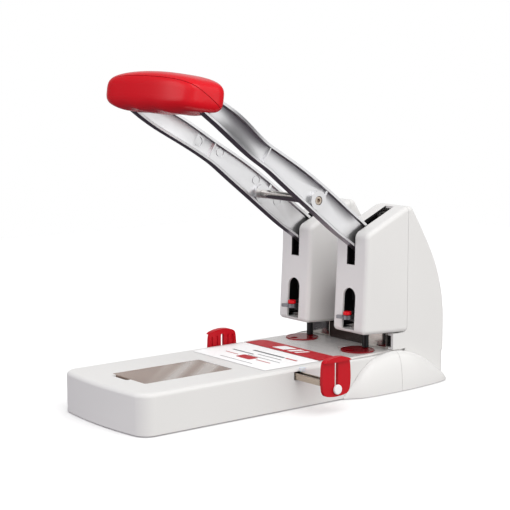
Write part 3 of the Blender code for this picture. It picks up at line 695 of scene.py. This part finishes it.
def base_cover():
    outer = base_outline()
    rings = [[(x, y, BASE_BOTTOM) for x, y in inset(outer, BASE_FOOT_BEVEL)],
             [(x, y, BASE_BOTTOM + BASE_FOOT_BEVEL) for x, y in outer]]
    for drop, depth in round_over(BASE_TOP_R, 7):
        rings.append([(x, y, BASE_TOP - drop) for x, y in inset(outer, depth)])
    cover = solid("base_shell", rings)
    cut(cover, prism("cavity", base_outline(BASE_WALL), "Z", -5.0, BASE_TOP - BASE_WALL))
    cut(cover, prism("window", rounded(rectangle(WINDOW_X, WINDOW_Y), 2.2), "Z", *THROUGH_TOP))
    notch = rectangle(NOTCH_X, (WINDOW_Y[0] - 4.5, WINDOW_Y[0] + 1.0))
    cut(cover, prism("notch", rounded(notch, (2.0, 2.0, 0.0, 0.0)), "Z", *THROUGH_TOP))
    cut(cover, box("seat", (-70.0, 70.0), (DECK_Y[0] - GAP, 60.0), (DECK_Z[0] - GAP, 40.0)))
    for _, side in SIDES:
        cut(cover, rod("chip_hole", "Z", *THROUGH_TOP, side * TOWER_X, PUNCH_Y, CHIP_HOLE_R, 24))
    for across, lengthwise in RAIL_MOUTHS:
        cut(cover, box("mouth", across, lengthwise, RAIL_MOUTH_Z))
    dress(cover, WHITE, "base", 0.35, nodes=("base_cover",))


def window_lid():
    (x0, x1), (y0, y1) = WINDOW_X, WINDOW_Y
    pane = rectangle((x0 + 0.4, x1 - 0.4), (y0 + 0.4, y1 - 1.0))
    lid = prism("window_pane", rounded(pane, 2.0), "Z", LID_TOP - 2.0, LID_TOP)
    dress(lid, SMOKED, "lid", 0.3, nodes=("window_lid",))


def accessory_tray():
    """The tray under the lid, two spare discs in it, and the black floor of the finger notch."""
    (x0, x1), (y0, y1) = WINDOW_X, WINDOW_Y
    tray = box("tray_shell", (x0 - 2.0, x1 + 2.0), (y0 - 2.0, y1 + 2.0), TRAY_Z)
    cut(tray, box("well", (x0 + 1.7, x1 - 1.7), (y0 + 3.0, y1 - 3.0), (TRAY_Z[0] + 2.0, 40.0)))
    dress(tray, TRAY, "base", 0.5, nodes=("accessory_tray",))
    middle = (x0 + x1) / 2
    for at in (y0 + 22.0, y1 - 22.0):
        spare = rod("spare_disc", "Z", TRAY_Z[0] + 2.4, TRAY_Z[0] + 5.4, middle, at, DISC_R, 64)
        dress(spare, DISC_RED, "base", 0.4)
    floor = box("notch_floor", (NOTCH_X[0] + 0.2, NOTCH_X[1] - 0.2), (y0 - 4.3, y0 + 0.9), NOTCH_FLOOR_Z)
    dress(floor, BLACK_AND_SHADE, "base", 0.1)


def marks(name, shapes, material, z):
    """Thin printed shapes on a level surface."""
    pieces = [prism(name, list(outline), "Z", z, z + INK_THICK) for outline in shapes]
    obj = pieces[0]
    bm = bmesh.new()
    for piece in pieces:
        bm.from_mesh(piece.data)
    bm.to_mesh(obj.data)
    bm.free()
    for piece in pieces[1:]:
        bpy.data.objects.remove(piece, do_unlink=True)
    return dress(obj, material, "base", 0.0)


def bar(x0, x1, y, width):
    return rectangle((x0, x1), (y - width / 2, y + width / 2))


def slanted(x0, x1, y0, y1, lean):
    return ((x0, y0), (x1, y0), (x1 + lean, y1), (x0 + lean, y1))


def label():
    """The printed sheet and band, with plain bars and a badge in place of words and marks."""
    width = (-LABEL_HALF_W, LABEL_HALF_W)
    low = BASE_TOP + GAP
    outline = rounded(rectangle(width, LABEL_Y), 0.6, 3)
    sheet = prism("label_sheet_fine", outline, "Z", low, low + SHEET_THICK)
    dress(sheet, PAPER, "base", 0.08, nodes=("label_sheet",))
    low = DECK_Z[1] + GAP
    outline = rounded(rectangle(width, BAND_Y), (0.4, 0.4, 6.0, 9.0))
    band = prism("label_band_fine", outline, "Z", low, low + SHEET_THICK)
    dress(band, RED_INK, "base", 0.08, nodes=("label_band",))

    top = BASE_TOP + INK_LIFT
    grey = [bar(-37.0, -6.0, -79.0, 2.2), bar(-4.0, 30.0, -75.5, 1.3), bar(-21.0, 24.0, -67.0, 3.0)]
    grey += [bar(-22.0, 25.0, -105.6, 0.9), bar(-8.0, 38.0, -84.0, 1.0)]
    marks("label_lines", grey, GREY_INK, top)
    badge = rounded(rectangle((-11.0, 10.0), (-97.0, -85.5)), 2.4, 4)
    red = [badge, bar(-34.0, -15.0, -90.0, 1.4), bar(14.0, 34.0, -92.0, 1.6), bar(26.0, 42.0, -67.0, 2.6)]
    marks("label_badge", red, RED_INK, top)
    stripes = [slanted(x0, x1, -45.5, -33.0, 5.0) for x0, x1 in ((-20.0, -3.0), (2.0, 8.0), (12.0, 16.0))]
    marks("band_stripes", stripes, WHITE_INK, DECK_Z[1] + INK_LIFT)


# ---------------------------------------------------------------- deck and discs
def deck():
    x, (y0, y1) = DECK_HALF_W, DECK_Y
    outline = rounded(((x, y0), (x, y1), (-x, y1), (-x, y0)), (3.0, 0.0, 0.0, 3.0), 5)
    plate = prism("deck_sheet", outline, "Z", *DECK_Z)
    for _, side in SIDES:
        x = side * TOWER_X
        cut(plate, rod("disc_seat", "Z", *THROUGH_TOP, x, DISC_Y, DISC_R + GAP, 96))
        notch = rectangle((x - 24.0, x - 14.0), (DISC_Y - DISC_NOTCH_HALF_W, DISC_Y + DISC_NOTCH_HALF_W))
        cut(plate, prism("notch", rounded(notch, (4.0, 0.0, 0.0, 4.0)), "Z", 36.0, 40.0))
    dress(plate, STEEL, "base", 0.35, nodes=("deck_plate",))


def discs():
    """The turnable discs, each with a hole at the punch and one half a turn away."""
    for name, side in SIDES:
        centre = (side * TOWER_X, DISC_Y)
        disc = rod(f"disc_{name}_fine", "Z", *DISC_Z, *centre, DISC_R, 96)
        for y in (PUNCH_Y, 2 * DISC_Y - PUNCH_Y):
            cut(disc, rod("hole", "Z", 30.0, 45.0, side * TOWER_X, y, DISC_HOLE_R, 32))
        cut(disc, ring_groove(*centre, DISC_R - 2.2, DISC_Z[1]))
        dress(disc, DISC_RED, f"disc_{name}", 0.45, 3, nodes=(f"disc_{name}",))


def ring_groove(u, v, radius, top):
    """A cutter for a shallow ring in a level top."""
    outer = rod("groove", "Z", top - GROOVE_DEPTH, top + 1.0, u, v, radius, 96)
    return cut(outer, rod("core", "Z", top - 2.0, top + 2.0, u, v, radius - GROOVE_W, 96))


# ---------------------------------------------------------------- towers
def tower_profile():
    outline = ((-3.5, 56.0), (0.0, 125.0), (0.4, 149.3), (49.0, 171.2), (53.0, 171.9), (62.0, 171.9),
               (62.0, 52.5))
    return rounded(outline, (4.4, 0.0, 7.0, 6.0, 0.0, 0.0, 0.0), 8)


def inside_room(point, middle):
    """True for a point on the faces of the room inside a tower, and on those of its openings."""
    near = 0.1
    x, y, z = (point - ORIGIN) / MM
    if abs(x - middle) > TOWER_HALF_W - TOWER_WALL + near or z < TOWER_ROOM[0][1] - near:
        return False
    edges = zip(TOWER_ROOM, TOWER_ROOM[1:])
    return all((b[0] - a[0]) * (z - a[1]) - (b[1] - a[1]) * (y - a[0]) < near for a, b in edges)


def paint(obj, material, test):
    """Gives a second material to the faces whose middle passes the test."""
    obj.data.materials.append(material)
    for face in obj.data.polygons:
        if test(face.center):
            face.material_index = 1


def tower_covers():
    for name, side in SIDES:
        c = side * TOWER_X
        half = TOWER_HALF_W
        ends = (c - half, c + half)
        cover = rounded_prism(f"tower_shell_{name}", tower_profile(), "X", *ends, TOWER_EDGE_R, 7)
        trim = rounded(((-12.0, 50.0), (-12.0, 180.0), (TOWER_REAR_Y, 180.0), (TOWER_REAR_Y, 53.1)),
                       (0.0, 0.0, 0.0, 4.0), 8)
        keep(cover, prism("trim", trim, "X", c - CUTTER_REACH, c + CUTTER_REACH))
        room = (c - half + TOWER_WALL, c + half - TOWER_WALL)
        cut(cover, prism("room", (*TOWER_ROOM, (60.0, 59.4)), "X", *room))
        cut(cover, box("underside", (c - 16.5, c + 16.5), (9.2, 60.0), (45.0, 63.0)))
        cut(cover, box("underside_front", (c - 5.5, c + 5.5), (0.8, 12.0), (45.0, 63.0)))
        crown = circle(c, ARCH_Z[1], ARCH_HALF_W, 48)[:25]
        arch = [(c - ARCH_HALF_W, ARCH_Z[0]), (c + ARCH_HALF_W, ARCH_Z[0]), *crown]
        cut(cover, prism("arch", arch, "Y", -12.0, 6.0))
        slot = (c - SLOT_HALF_W, c + SLOT_HALF_W)
        cut(cover, box("slot", slot, (-12.0, SLOT_REAR_Y), (SLOT_BOTTOM, 185.0)))
        dress(cover, WHITE, "base", 0.45, 3, angle=38.0, nodes=(f"tower_cover_{name}",))
        # Painted shade: the faces inside the tower's room and openings get the black material.
        paint(cover, BLACK_AND_SHADE, lambda point: inside_room(point, c))


# ---------------------------------------------------------------- arms
def jog(y):
    t = min(max((JOG_Y[0] - y) / (JOG_Y[0] - JOG_Y[1]), 0.0), 1.0)
    return t * t * (3 - 2 * t)


def arm_station(side, t):
    """The arm's lower edge, upper edge and middle X at t, counted in stations from the pivot end."""
    low, up = spline(ARM_LOW, t), spline(ARM_UP, t)
    return low, up, side * (TOWER_X + (HANDLE_X - TOWER_X) * jog((low.x + up.x) / 2))


def arm_loft(name, side, section, start, end, per=5):
    """A solid along the arm. section gives (offset from the middle X, distance up from the lower edge)."""
    count = max(int((end - start) * per), 1)
    rings = []
    for i in range(count + 1):
        low, up, middle = arm_station(side, start + (end - start) * i / count)
        depth = (up - low).length
        across = (up - low).normalized()
        rings.append([(middle + x, *(low + across * h)) for x, h in section(depth)])
    return solid(name, rings)


def channel(depth):
    """The arm's open section: web, two tapered flanges and a small fillet beside each flange."""
    h, web, f, r = ARM_HALF_T, -ARM_HALF_T + ARM_WEB, ARM_FLANGE, ARM_FILLET
    return [(-h, 0.0), (h, 0.0), (h, f - 0.8), (h - 0.9, f - 0.1), (web + r, f), (web + 0.3 * r, f + 0.3 * r),
            (web, f + r), (web, depth - f - r), (web + 0.3 * r, depth - f - 0.3 * r), (web + r, depth - f),
            (h, depth - f + 0.3), (h, depth), (-h, depth)]


def rib(depth):
    """A rib's section, sunk 1 mm into the web and the flanges."""
    web, f = -ARM_HALF_T + ARM_WEB - 1.0, ARM_FLANGE - 1.0
    return rectangle((web, ARM_HALF_T - 0.7), (f, depth - f))


def arm_room(depth):
    """The arm's section with room round it, cut out of the grip."""
    return rectangle((-ARM_HALF_T - ARM_ROOM, ARM_HALF_T + ARM_ROOM), (-ARM_ROOM, depth + ARM_ROOM))


def ejector_mark(y, z, web, offset):
    """A cutter for the shallow ring that an ejector pin leaves on the web."""
    floor = web - EJECTOR_DEPTH - offset
    mark = rod("mark", "X", floor, web + 2.0 - offset, y, z, EJECTOR_R[1])
    return cut(mark, rod("core", "X", floor - 1.0, web + 3.0 - offset, y, z, EJECTOR_R[0]))


def arms():
    last = len(ARM_LOW) - 1.0
    for name, side in SIDES:
        c = side * TOWER_X
        arm = arm_loft(f"arm_{name}_fine", side, channel, 0.0, last)
        for at in ARM_RIBS:
            join(arm, arm_loft("rib", side, rib, at - RIB_HALF, at + RIB_HALF, 8))
        sides = (c - ARM_HALF_T - BOSS_PROUD, c + ARM_HALF_T + BOSS_PROUD)
        join(arm, rod("eye", "X", *sides, *PIVOT, EYE_R), rod("lug", "X", *sides, *DRIVE_PIN, LUG_R))
        join(arm, rod("boss", "X", *sides, *ROD, BOSS_R, 64))
        for at, radius in ((PIVOT, PIVOT_HOLE_R), (DRIVE_PIN, DRIVE_HOLE_R), (ROD, SCREW_HOLE_R)):
            cut(arm, rod("hole", "X", c - CUTTER_REACH, c + CUTTER_REACH, *at, radius))
        outer = c + side * (ARM_HALF_T + BOSS_PROUD)
        seat = (outer - side * HEAD_SEAT_DEPTH, outer + side * 9.0)
        cut(arm, rod("head_seat", "X", *seat, *ROD, HEAD_SEAT_R))
        if side < 0:
            for y, z in EJECTOR_MARKS:
                offset = (HANDLE_X - TOWER_X) * jog(y)
                cut(arm, ejector_mark(y, z, c - ARM_HALF_T + ARM_WEB, offset))
        clean(arm)
        dress(arm, ALUMINIUM, "lever", 0.0, 2, angle=40.0, nodes=(f"arm_{name}",),
              even=False)
    refine("cross_rod", POLISHED, 0.5)
    for name, _ in SIDES:
        refine(f"rod_screw_{name}", RAIL, 0.4)
        refine(f"drive_pin_{name}", POLISHED, 0.4)


# ---------------------------------------------------------------- handle
def handle_ring(x, count=96):
    """The grip's outline at x: a squarish oval, drawn in towards the ends, with finger ripples below."""
    share = abs(x / HANDLE_HALF_L)
    end = max(1.0 - share ** HANDLE_END_POWER, 0.0) ** (1 / HANDLE_END_POWER)
    fill = end * (1.0 - HANDLE_BARREL * share ** 2)
    domed = x + math.copysign((HANDLE_DOME * (1.0 - end ** 2) - HANDLE_DRAW_IN) * share ** 12, x)
    ring = []
    for i in range(count):
        turn = math.tau * i / count
        c, s = math.cos(turn), math.sin(turn)
        u = math.copysign(abs(c) ** HANDLE_SECTION_POWER, c) * HANDLE_RY * fill
        v = math.copysign(abs(s) ** HANDLE_SECTION_POWER, s) * HANDLE_RZ * fill
        v += HANDLE_ARCH * (1.0 - share ** 2)
        if s < 0:
            wave = math.cos(math.tau * (x + HANDLE_RIPPLE_SHIFT) / HANDLE_RIPPLE_PITCH)
            v += HANDLE_RIPPLE * s * wave * fill
        y = u * math.cos(HANDLE_TILT) - v * math.sin(HANDLE_TILT)
        z = u * math.sin(HANDLE_TILT) + v * math.cos(HANDLE_TILT)
        ring.append((domed, HANDLE[0] + y, HANDLE[1] + z))
    return ring


def handle():
    direction = Vector((math.cos(SEAM_ANGLE), math.sin(SEAM_ANGLE)))
    normal = Vector((-direction.y, direction.x))
    half = [HANDLE_HALF_L * math.sin(math.radians(a)) ** (2 / HANDLE_END_POWER) for a in HANDLE_TURNS]
    stations = [-x for x in reversed(half)] + half
    for name, way in (("handle_upper", -1), ("handle_lower", 1)):
        grip = solid(f"{name}_fine", [handle_ring(x) for x in stations])
        near, far = normal * way * SEAM / 2, normal * way * 60.0
        centre = Vector(HANDLE)
        corners = [centre + near - direction * 60, centre + near + direction * 60,
                   centre + far + direction * 60, centre + far - direction * 60]
        keep(grip, prism("half", [tuple(p) for p in corners], "X", -90.0, 90.0))
        for _, side in SIDES:
            cut(grip, arm_loft("arm_room", side, arm_room, 8.5, len(ARM_LOW) - 1.0, 4))
        dress(grip, RED, "lever", 0.4, 2, angle=40.0, nodes=(name,))
    refine("handle_bar", POLISHED, 0.4)


# ---------------------------------------------------------------- guides
def guides():
    y, half, z0, z1 = GUIDE_SLOT
    outline = softened(list(GUIDE_OUTLINE))
    crest = softened(list(GUIDE_CREST), 1)
    for name, side in SIDES:
        inner = GUIDE_X[name]
        outer = inner + GUIDE_THICK
        guide = prism(f"guide_{name}_fine", outline, "X", side * inner, side * outer)
        join(guide, prism("lip", crest, "X", side * (outer - 1.9), side * (outer + GUIDE_LIP)))
        slot = rounded(rectangle((y - half, y + half), (z0, z1)), 1.6, 5)
        cut(guide, prism("slot", slot, "X", *sorted((side * (inner - 5), side * (outer + 9)))))
        for at in GUIDE_GROOVES:
            groove = sorted((side * (inner - 1.0), side * (inner + 0.9)))
            cut(guide, box("groove", groove, (at - 1.0, at + 1.0), (20.0, 45.5)))
        dress(guide, GUIDE_RED, f"guide_{name}", 0.5, 3, nodes=(f"guide_{name}",))

        knob_ends = sorted((side * (outer + GAP), side * (outer + 3.0)))
        knob = rounded_prism(f"knob_{name}_fine", circle(y, KNOB_Z, KNOB_R, 56), "X", *knob_ends, 0.9, 4)
        shank_ends = sorted((side * (inner + GAP), side * (outer + 1.0)))
        join(knob, rod("shank", "X", *shank_ends, y, KNOB_Z, SHANK_R, 24))
        dress(knob, KNOB, f"knob_{name}", 0.15, 2, nodes=(f"guide_knob_{name}",))
        refine(f"guide_rail_{name}", RAIL, 0.35)
    refine("rail_lug_right", FROSTED, 0.7)
    refine("rail_bearing", BLACK_AND_SHADE, 0.3)


# ---------------------------------------------------------------- rear housing
def rear_block(name, margin, front, bottom):
    """The rear housing's body, bridge and two wings, moved inwards by the margin."""
    half = REAR_HALF_W - margin
    back = REAR_Y - margin
    foot = rounded(((half, front), (half, back), (-half, back), (-half, front)),
                   (0.0, REAR_CORNER_R, REAR_CORNER_R, 0.0), 8)
    block = prism(name, foot, "Z", bottom, 38.0 - margin)
    outline = [*rounded([*WING_FRONT, WING_BACK[0]], (0.0, 0.0, 0.0, 5.0, 0.0), 7)[:-1],
               *smoothed(list(WING_BACK[:-1]), 4), WING_BACK[-1]]
    if margin:
        outline = inset(outline, margin)
    bridge = [(front, 30.0), (front, BRIDGE_TOP - margin), (66.0, BRIDGE_TOP - margin)]
    bridge += [(y, z) for y, z in outline if 20.0 + margin < z < BRIDGE_TOP - margin and y > 60.0]
    wings = []
    for _, side in SIDES:
        c = side * TOWER_X
        width = TOWER_HALF_W - margin
        if margin:
            wing = prism("wing", outline, "X", c - width, c + width)
        else:
            wing = rounded_prism("wing", outline, "X", c - width, c + width, TOWER_EDGE_R, 7)
        wings.append(keep(wing, box("trim", (c - 40.0, c + 40.0), (front, 120.0), (30.0, 190.0))))
    return join(block, prism("bridge", bridge, "X", -TOWER_X, TOWER_X), *wings)


def rear_cover():
    front, apron = TOWER_REAR_Y + GAP, BASE_REAR_Y + GAP
    cover = rear_block("rear_shell", 0.0, front, BASE_BOTTOM)
    join(cover, box("front_apron", (-REAR_HALF_W, REAR_HALF_W), (apron, 60.0), (BASE_BOTTOM, DECK_Z[1])))
    low, high = DECK_Z[1] + GAP, SHOULDER_TOP
    corner = [(48.2 + 4.3 * math.cos(math.radians(a)), 57.4 + 4.3 * math.sin(math.radians(a)))
              for a in (0, -15, -30, -45, -60, -75, -90)]
    profile = [(SHOULDER_Y, low), (apron, low), (apron, 36.6), (60.0, 36.6), (60.0, 62.0), (front, 62.0),
               *corner, (SHOULDER_Y, high)]
    for _, side in SIDES:
        inner = side * (TOWER_X + FRAME_HALF_W + 0.6)
        join(cover, prism("shoulder", profile, "X", inner, side * REAR_HALF_W))
        reach = sorted((side * (TOWER_X + 10.0), side * (REAR_HALF_W - 3.0)))
        cut(cover, box("recess", reach, (30.0, 41.0), (low + 1.8, high - 2.1)))
    cut(cover, rear_block("inside", REAR_WALL, 40.0, -5.0))
    dress(cover, WHITE, "base", 0.4, 3, angle=38.0, nodes=("rear_cover",))
    refine("center_housing", BROWN, 0.6)


def fenders():
    """The bulging side pieces, lofted along Y, each with a fine crease round it."""
    for name, side in SIDES:
        inner = BASE_HALF_W + GAP
        stations = smoothed(list(FENDER), 4)
        shape = smoothed(list(FENDER_SHAPE), 3)
        rings = []
        for y, width, height in stations:
            step = (BASE_HALF_W - REAR_HALF_W) * min(max((y - BASE_REAR_Y) / 2.0, 0.0), 1.0)
            width, height = max(width, 0.3), max(height, 0.6)
            profile = [(inner - step, BASE_BOTTOM)]
            profile += [(inner + width * u, BASE_BOTTOM + height * v) for u, v in shape[:-1]]
            profile.append((inner - step, BASE_BOTTOM + height))
            rings.append([(side * px, y, pz) for px, pz in profile])
        fender = solid(f"fender_{name}_fine", rings)
        groove = box("crease", sorted((side * (inner - 1.0), side * (inner + 14.0))),
                     (FENDER_CREASE_Y - CREASE_HALF_W, FENDER_CREASE_Y + CREASE_HALF_W), (-2.0, 45.0))
        core = [[(px - side * CREASE_DEPTH, y, pz - CREASE_DEPTH) for px, y, pz in ring] for ring in rings]
        cut(groove, solid("core", core))
        cut(fender, groove)
        dress(fender, GLOSS_WHITE, "base", 0.12, 2, angle=40.0,
              nodes=(f"fender_{name}",))


# ---------------------------------------------------------------- small parts
def recess_shade_plates():
    """A black plate behind the recess beside each column: painted shade in the hollow of the rear housing."""
    for name, side in SIDES:
        reach = sorted((side * (TOWER_X + FRAME_HALF_W + 0.9), side * (REAR_HALF_W - 2.9)))
        back = box(f"recess_shade_plate_{name}", reach, (39.2, 42.0), (38.4, 52.0))
        dress(back, BLACK_AND_SHADE, "base", 0.3)


def small_parts():
    for name, _ in SIDES:
        refine(f"frame_{name}", POLISHED, 0.4)
        refine(f"pivot_pin_{name}", POLISHED, 0.5)
        refine(f"punch_{name}", BLACK_STEEL, 0.2)
        refine(f"punch_holder_{name}", BLACK_AND_SHADE, 0.4)
        refine(f"punch_guide_{name}", BLACK_AND_SHADE, 0.4)
        refine(f"release_lever_{name}", ZINC, 0.4)
        refine(f"lever_cap_{name}", RED, 0.7)
        frame["nodes"][f"spring_{name}"].data.materials.clear()
        frame["nodes"][f"spring_{name}"].data.materials.append(POLISHED)
    for node in ("base_plate", "rear_plate", "chip_hatch"):
        refine(node, BLACK_AND_SHADE, 0.25)
    for number in range(1, 5):
        refine(f"base_screw_{number}", POLISHED, 0.2)
        refine(f"foot_{number}", RUBBER, 0.3)


# ---------------------------------------------------------------- stage
VIEW_AZIMUTH = math.radians(51.36)
VIEW_ELEVATION = math.radians(8.03)
CAMERA_AT = (1037.8, -911.8, 319.0)
SENSOR_MM = 36.0
FOCAL_PER_WIDTH = 1467.5 / 510.0
LIGHTS = (
    # name, place, size, power in watts, colour
    ("key", (0.95, -0.1, 1.35), (1.2, 1.2), 7.0, (1.0, 1.0, 1.0)),
    ("side", (1.7, -0.1, 0.75), (1.2, 1.2), 1.7, (1.0, 1.0, 1.0)),
    ("front", (-0.1, -1.7, 0.7), (1.4, 1.0), 0.7, (0.92, 0.88, 1.0)))
LIGHTS_AIM = (0.0, 0.0, 0.12)
FLOOR_HALF = 1.15
MIRRORED = (
    # What glossy faces see towards a direction: the cosines where it begins and is full, and the colour
    ((-0.77, 0.62, 0.22), 0.90, 0.97, (0.55, 0.55, 0.55)),
    ((0.77, -0.27, 0.57), 0.82, 0.94, (0.06, 0.06, 0.065)),
    ((0.30, -0.76, 0.55), 0.87, 0.96, (0.7, 0.7, 0.7)),
    ((-0.40, -0.86, 0.30), 0.80, 0.95, (2.0, 2.0, 2.0)),
    ((0.95, 0.26, 0.15), 0.93, 0.985, (0.85, 0.85, 0.85)))


def grey(value):
    return (value, value, value)


def light(name, at, size, power, colour):
    data = bpy.data.lights.new(name, "AREA")
    data.shape = "RECTANGLE"
    data.size, data.size_y = size
    data.energy = power
    data.color = colour
    obj = bpy.data.objects.new(name, data)
    obj.location = at
    obj.rotation_euler = (Vector(LIGHTS_AIM) - Vector(at)).to_track_quat("-Z", "Y").to_euler()
    bpy.context.scene.collection.objects.link(obj)


def light_room(tree, back):
    """White for the camera, softly graded for what is lit, and patched light and dark for what is glossy."""
    place = tree.nodes.new("ShaderNodeTexCoord").outputs["Generated"]
    split = tree.nodes.new("ShaderNodeSeparateXYZ")
    tree.links.new(place, split.inputs["Vector"])

    def ramp(source, start, end):
        node = tree.nodes.new("ShaderNodeMapRange")
        node.interpolation_type = "SMOOTHSTEP"
        node.inputs["From Min"].default_value = start
        node.inputs["From Max"].default_value = end
        tree.links.new(source, node.inputs["Value"])
        return node.outputs["Result"]

    def step(axis, start, end):
        return ramp(split.outputs[axis], start, end)

    def toward(direction, start, end):
        """0 to 1 as the direction looked in comes nearer to the given one, by cosine."""
        node = tree.nodes.new("ShaderNodeVectorMath")
        node.operation = "DOT_PRODUCT"
        tree.links.new(place, node.inputs[0])
        node.inputs[1].default_value = Vector(direction).normalized()
        return ramp(node.outputs["Value"], start, end)

    def times(*factors):
        made = factors[0]
        for factor in factors[1:]:
            node = tree.nodes.new("ShaderNodeMath")
            node.operation = "MULTIPLY"
            tree.links.new(made, node.inputs[0])
            tree.links.new(factor, node.inputs[1])
            made = node.outputs["Value"]
        return made

    def mix(factor, first, second):
        return mixed(tree, factor, first, second)

    rim = mix(step("Y", -0.9, 0.1), (0.72, 0.68, 0.78), grey(1.1))
    rim = mix(step("X", 0.1, 0.8), rim, (1.30, 1.28, 1.24))
    soft = mix(step("Z", 0.15, 0.6), rim, grey(1.2))
    soft = mix(step("Z", -0.15, -0.55), soft, (0.30, 0.28, 0.30))
    mirrored = mix(toward((0.82, 0.57, -0.05), 0.50, 0.80), grey(0.24), grey(1.12))
    behind = times(toward((-0.77, 0.62, -0.10), 0.86, 0.95), step("Z", 0.10, 0.0))
    mirrored = mix(behind, mirrored, grey(0.9))
    for direction, start, full, colour in MIRRORED:
        mirrored = mix(toward(direction, start, full), mirrored, colour)
    mirrored = mix(step("Y", 0.80, 0.90), mirrored, (0.05, 0.05, 0.055))
    overhead = times(step("X", -0.58, -0.76), step("Y", 0.25, -0.1), step("Z", 0.85, 0.65))
    mirrored = mix(overhead, mirrored, (0.03, 0.03, 0.035))
    mirrored = mix(step("Z", -0.14, -0.30), mirrored, (0.06, 0.05, 0.065))
    sight = tree.nodes.new("ShaderNodeLightPath")
    room = mix(sight.outputs["Is Glossy Ray"], soft, mirrored)
    room = mix(sight.outputs["Is Camera Ray"], room, grey(1.0))
    tree.links.new(room, back.inputs["Color"])


def pale_floor():
    mesh = bpy.data.meshes.new("floor")
    across = (-FLOOR_HALF, FLOOR_HALF)
    mesh.from_pydata([(x, y, 0) for x, y in rectangle(across, across)], [], [(0, 1, 2, 3)])
    mesh.materials.append(floor_surface())
    floor = bpy.data.objects.new("floor", mesh)
    floor.visible_glossy = False
    floor.visible_diffuse = False
    bpy.context.scene.collection.objects.link(floor)


def studio():
    scene = bpy.context.scene
    scene.view_settings.view_transform = "Standard"
    scene.world = bpy.data.worlds.new("studio")
    scene.world.use_nodes = True
    tree = scene.world.node_tree
    back = tree.nodes["Background"]
    light_room(tree, back)
    back.inputs["Strength"].default_value = 1.0
    for settings in LIGHTS:
        light(*settings)


def camera():
    data = bpy.data.cameras.new("camera")
    data.sensor_width = SENSOR_MM
    data.lens = SENSOR_MM * FOCAL_PER_WIDTH
    data.clip_end = 100.0
    obj = bpy.data.objects.new("camera", data)
    obj.location = world(CAMERA_AT)
    obj.rotation_euler = (math.pi / 2 - VIEW_ELEVATION, 0.0, VIEW_AZIMUTH)
    bpy.context.scene.collection.objects.link(obj)
    bpy.context.scene.camera = obj


base_cover()
window_lid()
accessory_tray()
label()
deck()
discs()
tower_covers()
arms()
handle()
guides()
rear_cover()
fenders()
small_parts()
recess_shade_plates()
pale_floor()
studio()
camera()
